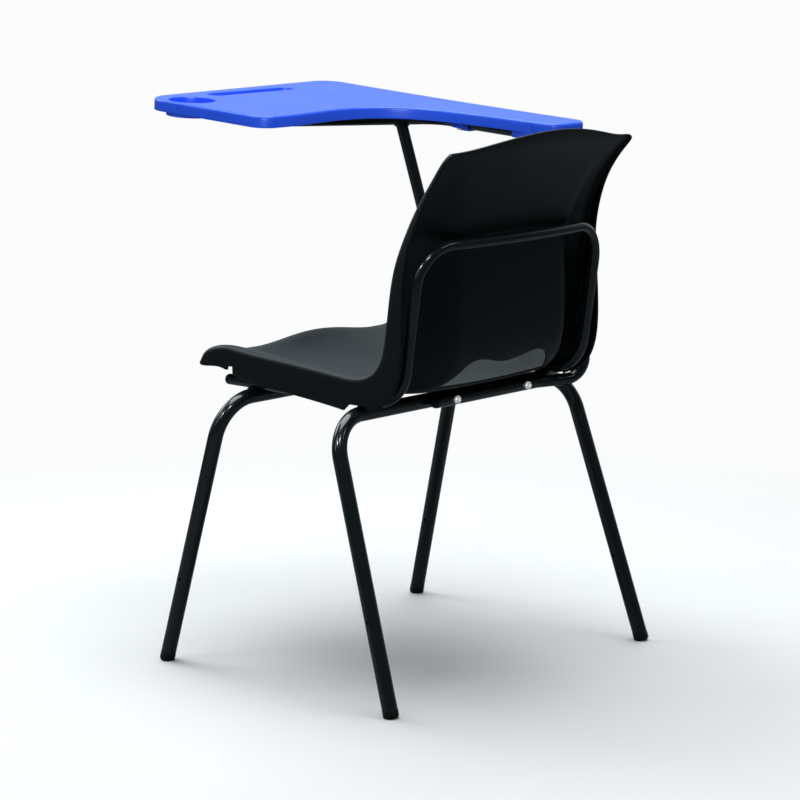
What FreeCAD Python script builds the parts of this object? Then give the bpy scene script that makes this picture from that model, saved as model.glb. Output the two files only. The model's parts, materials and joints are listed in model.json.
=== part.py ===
"""Student desk chair: one-piece moulded shell on a bent tube frame, with a flip-up writing tablet.

Chair frame used while modelling: X to the sitter's right, Y the way the sitter faces, Z up, in
millimetres, with z = 0 on the floor, x = 0 on the mirror plane of the seat and y = 0 halfway
between the front and rear feet.  Every piece is moved by ORIGIN_SHIFT when it is written, which
puts the origin at the bottom centre of the whole object's box.
"""
import FreeCAD, Part
import math
import os

from FreeCAD import Vector

# ----------------------------------------------------------------- driving dimensions
LEG_OD = 22.0                  # leg frames, 7/8 inch tube
HOOP_OD = 16.0                 # seat rails and back hoop, one tube
ARM_OD = 18.0                  # tablet arm and tablet support
WALL = 1.5                     # wall of every tube
TOUCH = 0.02                   # air left between parts that are welded or pressed together
FIT = 0.05                     # radial clearance of plugs and of the tablet hinge

# Legs of each frame: foot centre beside the mirror plane and beside y = 0 at z = 0, then the
# sideways and the fore-aft lean, both per z.
FRONT_LEG = {"x": 272.5, "y": 231.5, "splay": 0.053, "rake": 0.280}
REAR_LEG = {"x": 276.0, "y": 230.0, "splay": 0.058, "rake": 0.319}
CROSSBAR_Z = 397.5             # centre of both crossbars
LEG_BEND = 60.0                # bend radius where a leg turns into its crossbar
TUBE_END_Z = 9.0               # where the tube of a leg ends
FLOOR_Z = -3.5                 # floor under the feet
FOOT_D = 22.6                  # head of a foot plug
FOOT_HEAD = 13.5               # its length along the leg, before the floor cuts it
FOOT_STEM = 24.0               # and how far the plug goes up inside the tube
FOOT_EDGE = 4.0                # rounding of its lower edge
RACK_HOLE_Z = 125.0            # cross-drilled holes for a book rack
RACK_HOLE_D = 5.2

RAIL_X = 191.0                 # seat rails, either side of the mirror plane
RAIL_Z = CROSSBAR_Z + (LEG_OD + HOOP_OD) / 2 + TOUCH
RAIL_FRONT = 166.0             # front end of the rails
HOOP_HEEL_Y = -179.0           # where rail and upright would meet without the bend
HOOP_TOP_Y = -216.0            # the same for upright and top bar
HOOP_TOP_Z = 639.0
HOOP_BOW = 27.0                # the top bar's two halves would meet this far behind its ends
HEEL_BEND = 60.0
SHOULDER_BEND = 58.0
BOW_BEND = 850.0

ARM_END_X = -62.0              # left end of the arm's base
ARM_KINK_X = 158.0             # base turns slightly rearward here to clear the shell
ARM_SIDE_X = 237.0             # plane of the arm beside the seat
ARM_HEEL_Y = -150.0
ARM_SIDE_Z = 464.0             # height of the run beside the seat
ARM_KNEE_Y = 124.0             # where the run turns up into the strut
ARM_BENDS = [60.0, 31.0, 31.0, 60.0]
ARM_SCREW_X = (-27.0, 128.0)
ARM_SCREW_D = 6.0
ARM_SCREW_HOLE = 6.4
ARM_NUT_AF = 10.0              # across the flats
ARM_NUT_H = 5.0
PLUG_STEM = 18.0               # end plugs: length inside the tube
PLUG_HEAD = {"arm": 6.0, "rail": 8.0, "support": 5.0}
HINGE_STOP_D = 23.0            # head of the support's rear plug, wider than the tube

TABLET_Z = 784.0               # top of the tablet at TABLET_Y
TABLET_Y = 50.0
TABLET_SLOPE = 0.072           # tablet rises towards its front
TABLET_RIM = 18.0              # height of the rim
TABLET_DECK = 4.0
TABLET_WALL = 3.2
HINGE_X = 250.0                # axis of the straight part of the support tube
HINGE_DROP = 22.0              # from the tablet's top down to that axis
SUPPORT_REAR = -63.0
SUPPORT_CORNER = 155.0
SUPPORT_TIP = (22.0, 254.0)
SUPPORT_BEND = 45.0
STRUT_TOP_X = 192.0            # where the strut meets the support tube
WELD_LEGS = (3.0, 2.4)         # strut weld: size along the support tube and down the strut
RAIL_WELD = (7.5, 8.5, 3.4)    # rail welds: half sizes along X, Y and Z
TABLET_LEFT, TABLET_RIGHT = -100.0, 320.0     # in the tablet's own frame
TABLET_WAIST = 310.0           # right side, hollow in the middle
TABLET_WAIST_Y = 80.0
TABLET_FRONT = (397.0, 414.0)  # front edge at its left and right end
TABLET_REAR = -150.0
TABLET_EDGE = 4.0              # rounding of the top edge
TABLET_HEEL = 131.0            # rear edge of the wide part
TABLET_REST = 231.0            # inner side of the armrest at its rear end
TABLET_LEAN = 4.8              # degrees that both ends of the hollow right side lean
# Corners of the outline, anticlockwise from the front left: centre, radius, and the angles
# its arc runs between; the front edge adds its own skew to the first two.
TABLET_CORNERS = (((-54.0, 353.0), 46.0, 180.0, 90.0), ((284.0, 378.0), 36.0, 90.0, -TABLET_LEAN),
                  ((286.0, -122.0), 28.0, TABLET_LEAN, -85.0), ((250.0, -130.0), 18.0, -95.0, -190.0),
                  ((-72.0, 161.0), 28.0, -80.0, -180.0))
# Inner curve from the armrest to the wide part: point, and the direction into the tablet.
TABLET_INNER_CURVE = (((222.0, -55.0), (1.0, 0.12)), ((213.0, 10.0), (1.0, 0.2)),
                      ((197.0, 66.0), (1.0, 0.45)), ((166.0, 112.0), (0.75, 1.0)),
                      ((120.0, 137.0), (0.3, 1.0)), ((70.0, 143.0), (0.0, 1.0)),
                      ((0.0, 136.0), (-0.12, 1.0)))
CUP_CENTRE = (-59.0, 331.0)
CUP_D = 72.0
CUP_DEPTH = 20.5
GROOVE_LEFT, GROOVE_RIGHT = 8.0, 186.0
GROOVE_Y = 363.0
GROOVE_W = 28.0
GROOVE_DEPTH = 8.0
RIB_X = (-20.0, 90.0, 160.0, 290.0)
RIB_Y = (240.0, 320.0)
RIB_H = 7.0
RIB_T = 2.4
POCKET_WALL = 3.0              # wall and floor of the cup recess and of the pen groove
SADDLES = {"front": (31.0, 75.0), "rear": (-108.0, -69.0)}
CAPS = {"front": (31.0, 53.0), "rear": (-108.0, -69.0)}
CLAMP_W = 46.0
CAP_T = 2.0
CAP_FLANGE = 6.0
CAP_EDGE = 4.5
CLAMP_SCREW_D = 4.0
CLAMP_SCREW_INSET = 5.5        # from the side of a clamp to its screws
PAD_SIZE = (30.0, 16.0)
PAD_SETBACK = 34.0             # from the tip of the support tube to the middle of the pad
PAD_TOP = HINGE_DROP - TABLET_DECK - 0.05

SHELL_T = 4.5                  # wall of the moulded shell

# Stations of the shell from its front lip to its top edge.
# crest: top line of the side, edge: free edge of the side skirt, both in the side view.
# wide: half width at the edge, pan and arc: depth of the walled pan and of the round hollow,
# wall: share of the half width at the middle of the pan's wall, hump: rise between the thighs,
# crown: rise of the middle along the shell.
SHELL_STATIONS = (
    # crest y, z        edge y, z          wide    pan   arc   wall  hump  crown
    (212.0, 442.0, 210.5, 435.5, 213.0, 5.0, 1.0, 0.87, 5.0, 3.0),
    (205.5, 455.0, 204.0, 435.5, 213.5, 8.0, 1.5, 0.87, 8.0, 1.0),
    (190.0, 464.5, 189.0, 436.5, 214.0, 9.5, 2.0, 0.87, 11.0, 0.0),
    (166.0, 470.0, 166.0, 437.0, 214.0, 10.5, 2.5, 0.87, 11.5, 0.0),
    (140.0, 469.0, 140.0, 429.0, 214.0, 11.0, 3.0, 0.87, 8.5, 0.0),
    (100.0, 465.0, 100.0, 420.0, 214.0, 12.0, 4.0, 0.87, 5.5, 0.0),
    (30.0, 460.5, 30.0, 414.0, 214.0, 13.5, 6.0, 0.87, 1.5, 0.0),
    (-40.0, 455.0, -42.0, 407.5, 214.0, 17.0, 8.0, 0.86, 0.0, 0.0),
    (-86.0, 451.3, -92.0, 401.5, 214.0, 24.0, 9.0, 0.82, 0.0, 0.0),
    (-113.0, 452.5, -122.0, 400.0, 214.0, 26.0, 8.0, 0.77, 0.0, 0.0),
    (-137.0, 461.5, -153.0, 411.5, 214.0, 35.0, 7.0, 0.72, 0.0, 0.0),
    (-152.0, 477.5, -182.0, 435.0, 214.0, 44.0, 6.5, 0.69, 0.0, 0.0),
    (-160.0, 501.0, -197.0, 480.0, 213.5, 44.5, 6.0, 0.68, 0.0, 0.0),
    (-166.0, 546.0, -199.0, 542.0, 212.0, 41.0, 6.0, 0.68, 0.0, 0.0),
    (-173.0, 600.0, -198.5, 597.0, 208.5, 33.5, 6.0, 0.68, 0.0, 0.0),
    (-186.0, 644.0, -203.0, 637.0, 203.5, 19.5, 7.0, 0.70, 0.0, 0.0),
    (-206.0, 690.0, -219.0, 683.0, 197.0, 12.5, 10.5, 0.75, 0.0, 2.0),
    (-230.0, 727.0, -239.0, 720.5, 194.0, 6.0, 11.0, 0.80, 0.0, 9.0),
    (-250.0, 752.0, -258.0, 746.5, 195.5, 3.0, 9.0, 0.87, 0.0, 20.0),
    (-262.0, 764.5, -269.0, 759.0, 197.0, 2.0, 8.0, 0.87, 0.0, 28.0),
    (-270.5, 773.0, -277.0, 768.0, 194.5, 1.0, 7.0, 0.87, 0.0, 36.0),
)
PAN_WALL = 0.135               # half the width of the pan's wall, as a share of the half width
SHELL_ROWS = 60                # surface points along the shell
PANEL_POINTS = 18              # surface points from the middle to the crest line
SHELL_FLANK = 8.5              # crest line inboard of the skirt's edge
SHELL_ROUND = 7.5              # rounding between panel and skirt
OPENING_Y, OPENING_Z = -192.5, 439.0          # middle of the hand opening
OPENING_TILT = 37.5            # its axis points this far below the rearward direction
OPENING_TOP, OPENING_BASE = 158.0, 236.0      # width at the top edge and between the lower tips
OPENING_RISE, OPENING_DROP = 27.0, 18.0       # top corners and tips, above and below the middle
OPENING_SAG = 6.0              # the top edge dips this much
OPENING_BELLY = 7.0            # and so does the bottom edge
OPENING_CORNER = 4.0           # its top corners are rounded off this far down
ARM_RELIEF = 1.5               # air cut into the skirt around the tablet arm
SKIRT_NOTCHES = ((146.0, 432.0, 14.0, 12.0), (-109.0, 398.0, 48.0, 15.0))   # y, z, length, height
BOSS_X = 150.0
BOSS_Y = (-55.0, 70.0)
BOSS_D = 15.0
BOSS_BITE = 1.6
TAB_T = 3.0
TAB_Z = RAIL_Z
TAB_WIDTH = 22.0
SHELL_SCREW_D = 5.0
SHELL_SCREW_GRIP = 8.0

ORIGIN_SHIFT = FreeCAD.Vector(-16.4, -80.2, -FLOOR_Z)

UP = Vector(0, 0, 1)
RIGHT = Vector(1, 0, 0)


# ----------------------------------------------------------------- small helpers
def bent_path(points, radii):
    """Wire through the points with each inner corner rounded to its radius."""
    edges = []
    start = points[0]
    for i in range(1, len(points) - 1):
        corner = points[i]
        back = (points[i - 1] - corner).normalize()
        ahead = (points[i + 1] - corner).normalize()
        half = back.getAngle(ahead) / 2
        tangent = radii[i - 1] / math.tan(half)
        first = corner + back * tangent
        last = corner + ahead * tangent
        inward = (back + ahead).normalize()
        centre = corner + inward * (radii[i - 1] / math.sin(half))
        middle = centre - inward * radii[i - 1]
        edges.append(Part.makeLine(start, first))
        edges.append(Part.Arc(first, middle, last).toShape())
        start = last
    edges.append(Part.makeLine(start, points[-1]))
    return Part.Wire(edges)


def sweep_round(path, diameter):
    """Solid round bar along a path."""
    edge = path.Edges[0]
    start = edge.valueAt(edge.FirstParameter)
    direction = edge.tangentAt(edge.FirstParameter)
    profile = Part.Wire([Part.makeCircle(diameter / 2, start, direction)])
    return path.makePipeShell([profile], True, False)


def tube(path, diameter):
    return sweep_round(path, diameter).cut(sweep_round(path, diameter - 2 * WALL))


def turned(profile, base, direction):
    """Solid of revolution from (distance along the axis, radius) points, axis first and last."""
    points = [Vector(r, 0, a) for a, r in profile]
    face = Part.Face(Part.makePolygon(points + [points[0]]))
    solid = face.revolve(Vector(0, 0, 0), UP, 360)
    solid.Placement = FreeCAD.Placement(base, FreeCAD.Rotation(UP, direction))
    return solid


def plug(base, direction, bore, head_d, head_length, stem=PLUG_STEM):
    """Push-in end plug: domed head outside the tube, ribbed stem inside it."""
    r = bore / 2 - FIT
    dome = head_d / 2
    profile = [(-stem, 0), (-stem, r - 1.2), (-stem + 2.5, r)]
    for k in range(3):
        a = -stem + 5.0 + 4.0 * k
        profile += [(a, r), (a + 0.6, r - 0.8), (a + 1.8, r - 0.8), (a + 2.4, r)]
    profile += [(TOUCH, r), (TOUCH, dome)]
    steps = 6
    for k in range(steps + 1):
        turn = math.radians(90 * k / steps)
        along = head_length * (0.35 + 0.65 * math.sin(turn))
        profile.append((along, dome * (0.45 + 0.55 * math.cos(turn))))
    profile.append((head_length, 0))
    return turned(profile, base, direction)


def group(solids):
    return Part.makeCompound(solids)


def mirrored(shape):
    return shape.mirror(Vector(0, 0, 0), RIGHT)


def pan_screw(base, direction, shank_d, length, head_d, head_h):
    """Pan-head screw: base is under the head, direction points along the shank."""
    r = shank_d / 2
    profile = [(-head_h, 0), (-head_h, head_d * 0.30), (-head_h * 0.72, head_d * 0.43)]
    profile += [(-head_h * 0.3, head_d / 2), (0, head_d / 2), (0, r), (length - 1.2, r)]
    profile += [(length, r - 1.0), (length, 0)]
    screw = turned(profile, base, direction)
    side = direction.cross(UP if abs(direction.z) < 0.9 else RIGHT).normalize()
    for turn in (0, 90):
        slot = Part.makeBox(head_d * 0.55, 1.3, head_h * 0.55,
                            Vector(-head_d * 0.275, -0.65, -head_h * 1.01))
        axis = FreeCAD.Rotation(UP, direction)
        spin = FreeCAD.Rotation(direction, turn + 20)
        slot.Placement = FreeCAD.Placement(base, spin.multiply(axis))
        screw = screw.cut(slot)
    return screw


# ----------------------------------------------------------------- leg frames
def leg_axis(rear, side):
    """Foot point and corner point of one leg's centre line."""
    leg = REAR_LEG if rear else FRONT_LEG
    way = -1 if rear else 1
    foot = Vector(side * leg["x"], way * leg["y"], 0)
    corner = Vector(side * (leg["x"] - leg["splay"] * CROSSBAR_Z),
                    way * (leg["y"] - leg["rake"] * CROSSBAR_Z), CROSSBAR_Z)
    return foot, corner


def along_leg(rear, side, z):
    """Point of a leg's centre line at a height."""
    foot, corner = leg_axis(rear, side)
    return foot + (corner - foot) * (z / CROSSBAR_Z)


def leg_frame(rear):
    corners = [leg_axis(rear, side)[1] for side in (-1, 1)]
    ends = [along_leg(rear, side, TUBE_END_Z) for side in (-1, 1)]
    frame = tube(bent_path([ends[0], corners[0], corners[1], ends[1]], [LEG_BEND, LEG_BEND]), LEG_OD)
    at = along_leg(rear, 1, RACK_HOLE_Z)
    reach = at.x + LEG_OD
    frame = frame.cut(Part.makeCylinder(RACK_HOLE_D / 2, 2 * reach, Vector(-reach, at.y, at.z), RIGHT))
    if rear:
        frame = frame.cut(arm_screw_holes())
    return frame


def bar_y(rear):
    """Fore-aft place of a crossbar's centre line."""
    return leg_axis(rear, 1)[1].y


def arm_y():
    """Centre line of the arm's base, lying against the back of the rear crossbar."""
    return bar_y(True) - (LEG_OD + ARM_OD) / 2 - TOUCH


def arm_screw_holes():
    start = arm_y() - ARM_OD
    return group([Part.makeCylinder(ARM_SCREW_HOLE / 2, LEG_OD + 2 * ARM_OD,
                                    Vector(x, start, CROSSBAR_Z), Vector(0, 1, 0)) for x in ARM_SCREW_X])


def foot_plug(rear, side):
    """Foot insert: stem inside the tube, round-edged head that stands on a small flat."""
    end = along_leg(rear, side, TUBE_END_Z)
    down = (along_leg(rear, side, 0) - end).normalize()
    bore = tube_bore(LEG_OD) / 2 - FIT
    head = FOOT_D / 2
    edge = FOOT_EDGE
    profile = [(-FOOT_STEM, 0), (-FOOT_STEM, bore - 1.5), (-FOOT_STEM + 3.0, bore), (TOUCH, bore),
               (TOUCH, head - 0.5), (TOUCH + 0.5, head)]
    for turn in (0, 18, 36, 54, 72, 90):
        angle = math.radians(turn)
        profile.append((FOOT_HEAD - edge + edge * math.sin(angle), head - edge + edge * math.cos(angle)))
    profile.append((FOOT_HEAD + 0.6, 0))
    below = Part.makeBox(200, 200, 100, Vector(end.x - 100, end.y - 100, FLOOR_Z - 100))
    return turned(profile, end, down).cut(below)


# ----------------------------------------------------------------- seat rails and back hoop
def hoop_path():
    left = [Vector(-RAIL_X, RAIL_FRONT, RAIL_Z), Vector(-RAIL_X, HOOP_HEEL_Y, RAIL_Z),
            Vector(-RAIL_X, HOOP_TOP_Y, HOOP_TOP_Z)]
    middle = Vector(0, HOOP_TOP_Y - HOOP_BOW, HOOP_TOP_Z)
    right = [Vector(-p.x, p.y, p.z) for p in reversed(left)]
    radii = [HEEL_BEND, SHOULDER_BEND, BOW_BEND, SHOULDER_BEND, HEEL_BEND]
    return bent_path(left + [middle] + right, radii)


def rail_weld(side, rear):
    """Fillet weld where a seat rail crosses a crossbar."""
    y = bar_y(rear)
    contact = CROSSBAR_Z + LEG_OD / 2
    bead = Part.makeSphere(1.0)
    scale = FreeCAD.Matrix()
    scale.scale(*RAIL_WELD)
    bead = bead.transformGeometry(scale)
    bead.translate(Vector(side * RAIL_X, y, contact))
    rail = Part.makeCylinder(HOOP_OD / 2 + TOUCH, 60, Vector(side * RAIL_X, y - 30, RAIL_Z), Vector(0, 1, 0))
    bar = Part.makeCylinder(LEG_OD / 2 + TOUCH, 60, Vector(side * RAIL_X - 30, y, CROSSBAR_Z), RIGHT)
    return bead.cut(rail).cut(bar)


# ----------------------------------------------------------------- moulded shell
def spline(points):
    """Smooth curve through the points; its parameter counts the stations."""
    curve = Part.BSplineCurve()
    curve.interpolate(Points=points, Parameters=[float(i) for i in range(len(points))])
    return curve


CREST = spline([Vector(0, s[0], s[1]) for s in SHELL_STATIONS])
EDGE = spline([Vector(s[4], s[2], s[3]) for s in SHELL_STATIONS])
HOLLOW = spline([Vector(s[5], s[6], s[7] + i) for i, s in enumerate(SHELL_STATIONS)])
RISE = spline([Vector(i, s[8], s[9]) for i, s in enumerate(SHELL_STATIONS)])


def smoothstep(t):
    t = max(0.0, min(1.0, t))
    return t * t * (3 - 2 * t)


def hollow_depth(share, pan, arc, wall, hump):
    """Depth below the crest line at a share of the half width."""
    flat = 1.0 - smoothstep((share - wall + PAN_WALL) / (2 * PAN_WALL))
    thigh_gap = math.cos(min(share / 0.62, 1.0) * math.pi / 2) ** 2
    return pan * flat + arc * (1.0 - share ** 2) - hump * thigh_gap


def shell_section(u, inset):
    """Half a section, from its middle to the skirt's free edge, this far inside the outer surface."""
    crest = CREST.value(u)
    edge = EDGE.value(u)
    pan, arc, wall = HOLLOW.value(u)
    wall -= u
    hump, crown = RISE.value(u)[1:]
    along = CREST.tangent(u)[0]
    skirt = Vector(0, edge.y - crest.y, edge.z - crest.z)
    depth = skirt.Length
    skirt.normalize()
    normal = Vector(0, -along.z, along.y)
    if normal.dot(skirt) < 0:
        normal = normal * -1
    half = edge.x - SHELL_FLANK
    points = []
    for k in range(PANEL_POINTS):
        share = k / (PANEL_POINTS - 1)
        drop = hollow_depth(share, pan, arc, wall, hump) + inset
        middle = crest + normal * drop + along * (crown * (1 - share ** 2) ** 1.5)
        points.append(Vector(half * share, middle.y, middle.z))
    radius = SHELL_ROUND - inset
    squeeze = min(1.0, depth / (2 * SHELL_ROUND))
    for turn in (30, 60, 90):
        angle = math.radians(turn)
        fall = inset + squeeze * radius * (1 - math.cos(angle))
        way = (normal * (90 - turn) + skirt * turn).normalize()
        place = crest + way * fall
        points.append(Vector(half + radius * math.sin(angle), place.y, place.z))
    start_x = half + radius
    for share in (1 / 3, 2 / 3, 1.0):
        place = crest + skirt * (fall + (depth - fall) * share)
        points.append(Vector(start_x + (edge.x - inset - start_x) * share, place.y, place.z))
    return points


def shell_surface(inset):
    last = len(SHELL_STATIONS) - 1
    rows = []
    for i in range(SHELL_ROWS):
        half = shell_section(last * i / (SHELL_ROWS - 1), inset)
        rows.append([Vector(-p.x, p.y, p.z) for p in reversed(half[1:])] + half)
    return smooth_surface(rows)


def smooth_surface(rows):
    """Cubic surface that follows a grid of points and meets its border exactly."""
    counts = (len(rows), len(rows[0]))
    knots = [[float(k) for k in range(n - 2)] for n in counts]
    mults = [[4] + [1] * (n - 4) + [4] for n in counts]
    surface = Part.BSplineSurface()
    surface.buildFromPolesMultsKnots(rows, mults[0], mults[1], knots[0], knots[1], False, False, 3, 3)
    return surface


def shell_wall():
    """Solid between the outer surface and the one a wall thickness inside it."""
    outer = shell_surface(0)
    inner = shell_surface(SHELL_T)
    u0, u1, v0, v1 = outer.bounds()
    faces = [outer.toShape(), inner.toShape()]
    for border in ((u0, None), (u1, None), (None, v0), (None, v1)):
        u, v = border
        pair = []
        for surface in (outer, inner):
            line = surface.vIso(v) if u is None else surface.uIso(u)
            pair.append(line.toShape())
        faces.append(Part.makeRuledSurface(*pair))
    skin = Part.makeShell(faces)
    skin.sewShape()
    solid = Part.makeSolid(skin)
    if solid.Volume < 0:
        solid.reverse()
    return solid


def opening_cutter():
    """Leaf-shaped hand opening where the back meets the seat, cut square to the shell there."""
    reach = 60.0
    tilt = math.radians(OPENING_TILT)
    way = Vector(0, -math.cos(tilt), -math.sin(tilt))
    rise = Vector(0, way.z, -way.y)
    start = Vector(0, OPENING_Y, OPENING_Z) - way * reach

    def curve(places):
        line = Part.BSplineCurve()
        line.interpolate([start + RIGHT * x + rise * height for x, height in places])
        return line.toShape()

    half_top = OPENING_TOP / 2
    half_base = OPENING_BASE / 2
    fall = OPENING_RISE + OPENING_DROP
    shoulder = (-half_top - 6, OPENING_RISE - OPENING_CORNER)
    side = [shoulder, (-half_top - 16, OPENING_RISE - 0.35 * fall),
            (-half_base + 10, -OPENING_DROP + 0.2 * fall), (-half_base, -OPENING_DROP)]
    crown = [shoulder, (-half_top + 2, OPENING_RISE), (0, OPENING_RISE - OPENING_SAG)]
    crown += [(-x, height) for x, height in reversed(crown[:2])]
    belly = (0, -OPENING_DROP - OPENING_BELLY)
    mirrored_side = [(-x, height) for x, height in reversed(side)]
    left_tip, right_tip = [start + RIGHT * x + rise * -OPENING_DROP for x in (-half_base, half_base)]
    middle = start + RIGHT * belly[0] + rise * belly[1]
    bottom = Part.Arc(left_tip, middle, right_tip).toShape()
    outline = Part.Wire([curve(side), bottom, curve(mirrored_side), curve(list(reversed(crown)))])
    return Part.Face(outline).extrude(way * 2 * reach)


def boss_places():
    return [(side * BOSS_X, y) for side in (-1, 1) for y in BOSS_Y]


def seat_back_shell():
    shell = shell_wall()
    shell = shell.cut(opening_cutter())
    under = shell_surface(SHELL_T).toShape()
    start = TAB_Z + TAB_T / 2 + TOUCH
    hole_r = SHELL_SCREW_D / 2 + TOUCH / 2
    for x, y in boss_places():
        probe = Part.makeLine(Vector(x, y, TAB_Z), Vector(x, y, TAB_Z + 120))
        height = under.section(probe).Vertexes[0].Z
        boss = Part.makeCylinder(BOSS_D / 2, height + BOSS_BITE - start, Vector(x, y, start))
        shell = shell.fuse(boss)
        shell = shell.cut(Part.makeCylinder(hole_r, SHELL_SCREW_GRIP + 2, Vector(x, y, start)))
    thick = 30.0
    for side in (-1, 1):
        for y, z, length, height in SKIRT_NOTCHES:
            corner = Vector(side * (SHELL_STATIONS[3][4] - 4) - thick / 2, y - length / 2, z - 4)
            shell = shell.cut(Part.makeBox(thick, length, height, corner))
    return shell.cut(sweep_round(arm_path(), ARM_OD + 2 * ARM_RELIEF))


# ----------------------------------------------------------------- fixing of the shell
def mounting_tab(x, y):
    """Steel tab welded to the inside of a rail, under one boss of the shell."""
    side = 1 if x > 0 else -1
    inner = abs(x) - TAB_WIDTH / 2
    outer = RAIL_X - HOOP_OD / 2 + 3.0
    tab = Part.makeBox(outer - inner, TAB_WIDTH, TAB_T, Vector(inner, y - TAB_WIDTH / 2, TAB_Z - TAB_T / 2))
    tab = tab.fuse(Part.makeCylinder(TAB_WIDTH / 2, TAB_T, Vector(inner, y, TAB_Z - TAB_T / 2)))
    if side < 0:
        tab = mirrored(tab)
    tab = tab.cut(Part.makeCylinder(SHELL_SCREW_D / 2 + 0.25, 20, Vector(x, y, TAB_Z - 10)))
    rear_end = Vector(side * RAIL_X, y - TAB_WIDTH, RAIL_Z)
    return tab.cut(Part.makeCylinder(HOOP_OD / 2 + TOUCH, 2 * TAB_WIDTH, rear_end, Vector(0, 1, 0)))


def shell_screw(x, y):
    base = Vector(x, y, TAB_Z - TAB_T / 2 - TOUCH)
    return pan_screw(base, UP, SHELL_SCREW_D, SHELL_SCREW_GRIP + TAB_T, 10.0, 3.2)


# ----------------------------------------------------------------- tablet arm
def arm_points():
    y = arm_y()
    knee = Vector(ARM_SIDE_X, ARM_KNEE_Y, ARM_SIDE_Z + 6)
    return [Vector(ARM_END_X, y, CROSSBAR_Z), Vector(ARM_KINK_X, y, CROSSBAR_Z),
            Vector(ARM_SIDE_X, ARM_HEEL_Y, CROSSBAR_Z), Vector(ARM_SIDE_X, ARM_HEEL_Y, ARM_SIDE_Z), knee,
            strut_top()]


def arm_path():
    return bent_path(arm_points(), ARM_BENDS)


def tablet_arm():
    bar = tube(arm_path(), ARM_OD)
    bar = bar.cut(arm_screw_holes())
    saddle = sweep_round(support_path(), ARM_OD + 2 * TOUCH)
    return bar.cut(saddle)


def arm_screw(x):
    base = Vector(x, arm_y() - ARM_OD / 2 - TOUCH, CROSSBAR_Z)
    return pan_screw(base, Vector(0, 1, 0), ARM_SCREW_D, ARM_OD + LEG_OD + 8.0, 12.5, 4.6)


def arm_nut(x):
    start = Vector(x, bar_y(True) + LEG_OD / 2 + TOUCH, CROSSBAR_Z)
    radius = ARM_NUT_AF / math.sqrt(3)
    angles = [math.radians(60 * k) for k in range(7)]
    corners = [Vector(radius * math.cos(a), radius * math.sin(a), 0) for a in angles]
    nut = Part.Face(Part.makePolygon(corners)).extrude(UP * ARM_NUT_H)
    nut = nut.cut(Part.makeCylinder(ARM_SCREW_D / 2 + TOUCH / 2, 20, Vector(0, 0, -5)))
    nut.Placement = FreeCAD.Placement(start, FreeCAD.Rotation(UP, Vector(0, 1, 0)))
    return nut


# ----------------------------------------------------------------- tablet support tube
def tablet_top(y):
    return TABLET_Z + TABLET_SLOPE * (y - TABLET_Y)


def support_centre(x, y):
    """Point on the plane of the support tube's centre line."""
    return Vector(x, y, tablet_top(y) - HINGE_DROP * math.sqrt(1 + TABLET_SLOPE ** 2))


def support_points():
    return [support_centre(HINGE_X, SUPPORT_REAR), support_centre(HINGE_X, SUPPORT_CORNER),
            support_centre(*SUPPORT_TIP)]


def support_path():
    return bent_path(support_points(), [SUPPORT_BEND])


def strut_top():
    corner = support_points()[1]
    tip = support_points()[2]
    share = (HINGE_X - STRUT_TOP_X) / (HINGE_X - tip.x)
    return corner + (tip - corner) * share


def strut_weld():
    """Fillet weld that follows the joint of the strut with the support tube."""
    top = strut_top()
    knee = arm_points()[-2]
    axis = (knee - top).normalize()
    along, down = WELD_LEGS
    bead = Part.makeCylinder(ARM_OD / 2 + along, ARM_OD, top, axis)
    bead = bead.common(sweep_round(support_path(), ARM_OD + 2 * down))
    strut = Part.makeCylinder(ARM_OD / 2 + TOUCH, 4 * ARM_OD, top - axis * ARM_OD, axis)
    return bead.cut(strut).cut(sweep_round(support_path(), ARM_OD + 2 * TOUCH))


def tube_bore(diameter):
    return diameter - 2 * WALL


def end_plug(end, before, diameter, head_d, head_length):
    return plug(end, (end - before).normalize(), tube_bore(diameter), head_d, head_length)


# ----------------------------------------------------------------- writing tablet
def tablet_place():
    """From the tablet's own frame, top at z = 0 and y = 0 at TABLET_Y, to the chair frame."""
    tilt = FreeCAD.Rotation(RIGHT, math.degrees(math.atan(TABLET_SLOPE)))
    return FreeCAD.Placement(Vector(0, TABLET_Y, TABLET_Z), tilt)


def tablet_outline(inset):
    """Plan outline of the tablet, seen from above, this far inside its edge."""
    skew = math.degrees(math.atan2(TABLET_FRONT[1] - TABLET_FRONT[0], TABLET_RIGHT - TABLET_LEFT))
    skews = ((0, skew), (skew, 0), (0, 0), (0, 0), (0, 0))
    corners = []
    for ((cx, cy), radius, start, stop), (add_start, add_stop) in zip(TABLET_CORNERS, skews):
        first, last = start + add_start, stop + add_stop
        points = []
        for angle in (first, (first + last) / 2, last):
            way = Vector(math.cos(math.radians(angle)), math.sin(math.radians(angle)), 0)
            points.append(Vector(cx, cy, 0) + way * (radius - inset))
        corners.append(Part.Arc(*points).toShape())
    starts = [p.valueAt(p.FirstParameter) for p in corners]
    ends = [p.valueAt(p.LastParameter) for p in corners]
    waist = Vector(TABLET_WAIST - inset, TABLET_WAIST_Y, 0)
    inner = []
    for (x, y), (nx, ny) in TABLET_INNER_CURVE:
        size = math.hypot(nx, ny)
        inner.append(Vector(x + inset * nx / size, y + inset * ny / size, 0))
    curve = Part.BSplineCurve()
    curve.interpolate([ends[3]] + inner + [starts[4]])
    edges = corners + [Part.makeLine(ends[0], starts[1]),
                       Part.Arc(ends[1], waist, starts[2]).toShape(),
                       Part.makeLine(ends[2], starts[3]),
                       curve.toShape(),
                       Part.makeLine(ends[4], starts[0])]
    return Part.Wire(Part.__sortEdges__(edges))


def prism(wire, bottom, top):
    face = Part.Face(wire)
    face.translate(Vector(0, 0, bottom))
    return face.extrude(Vector(0, 0, top - bottom))


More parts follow.
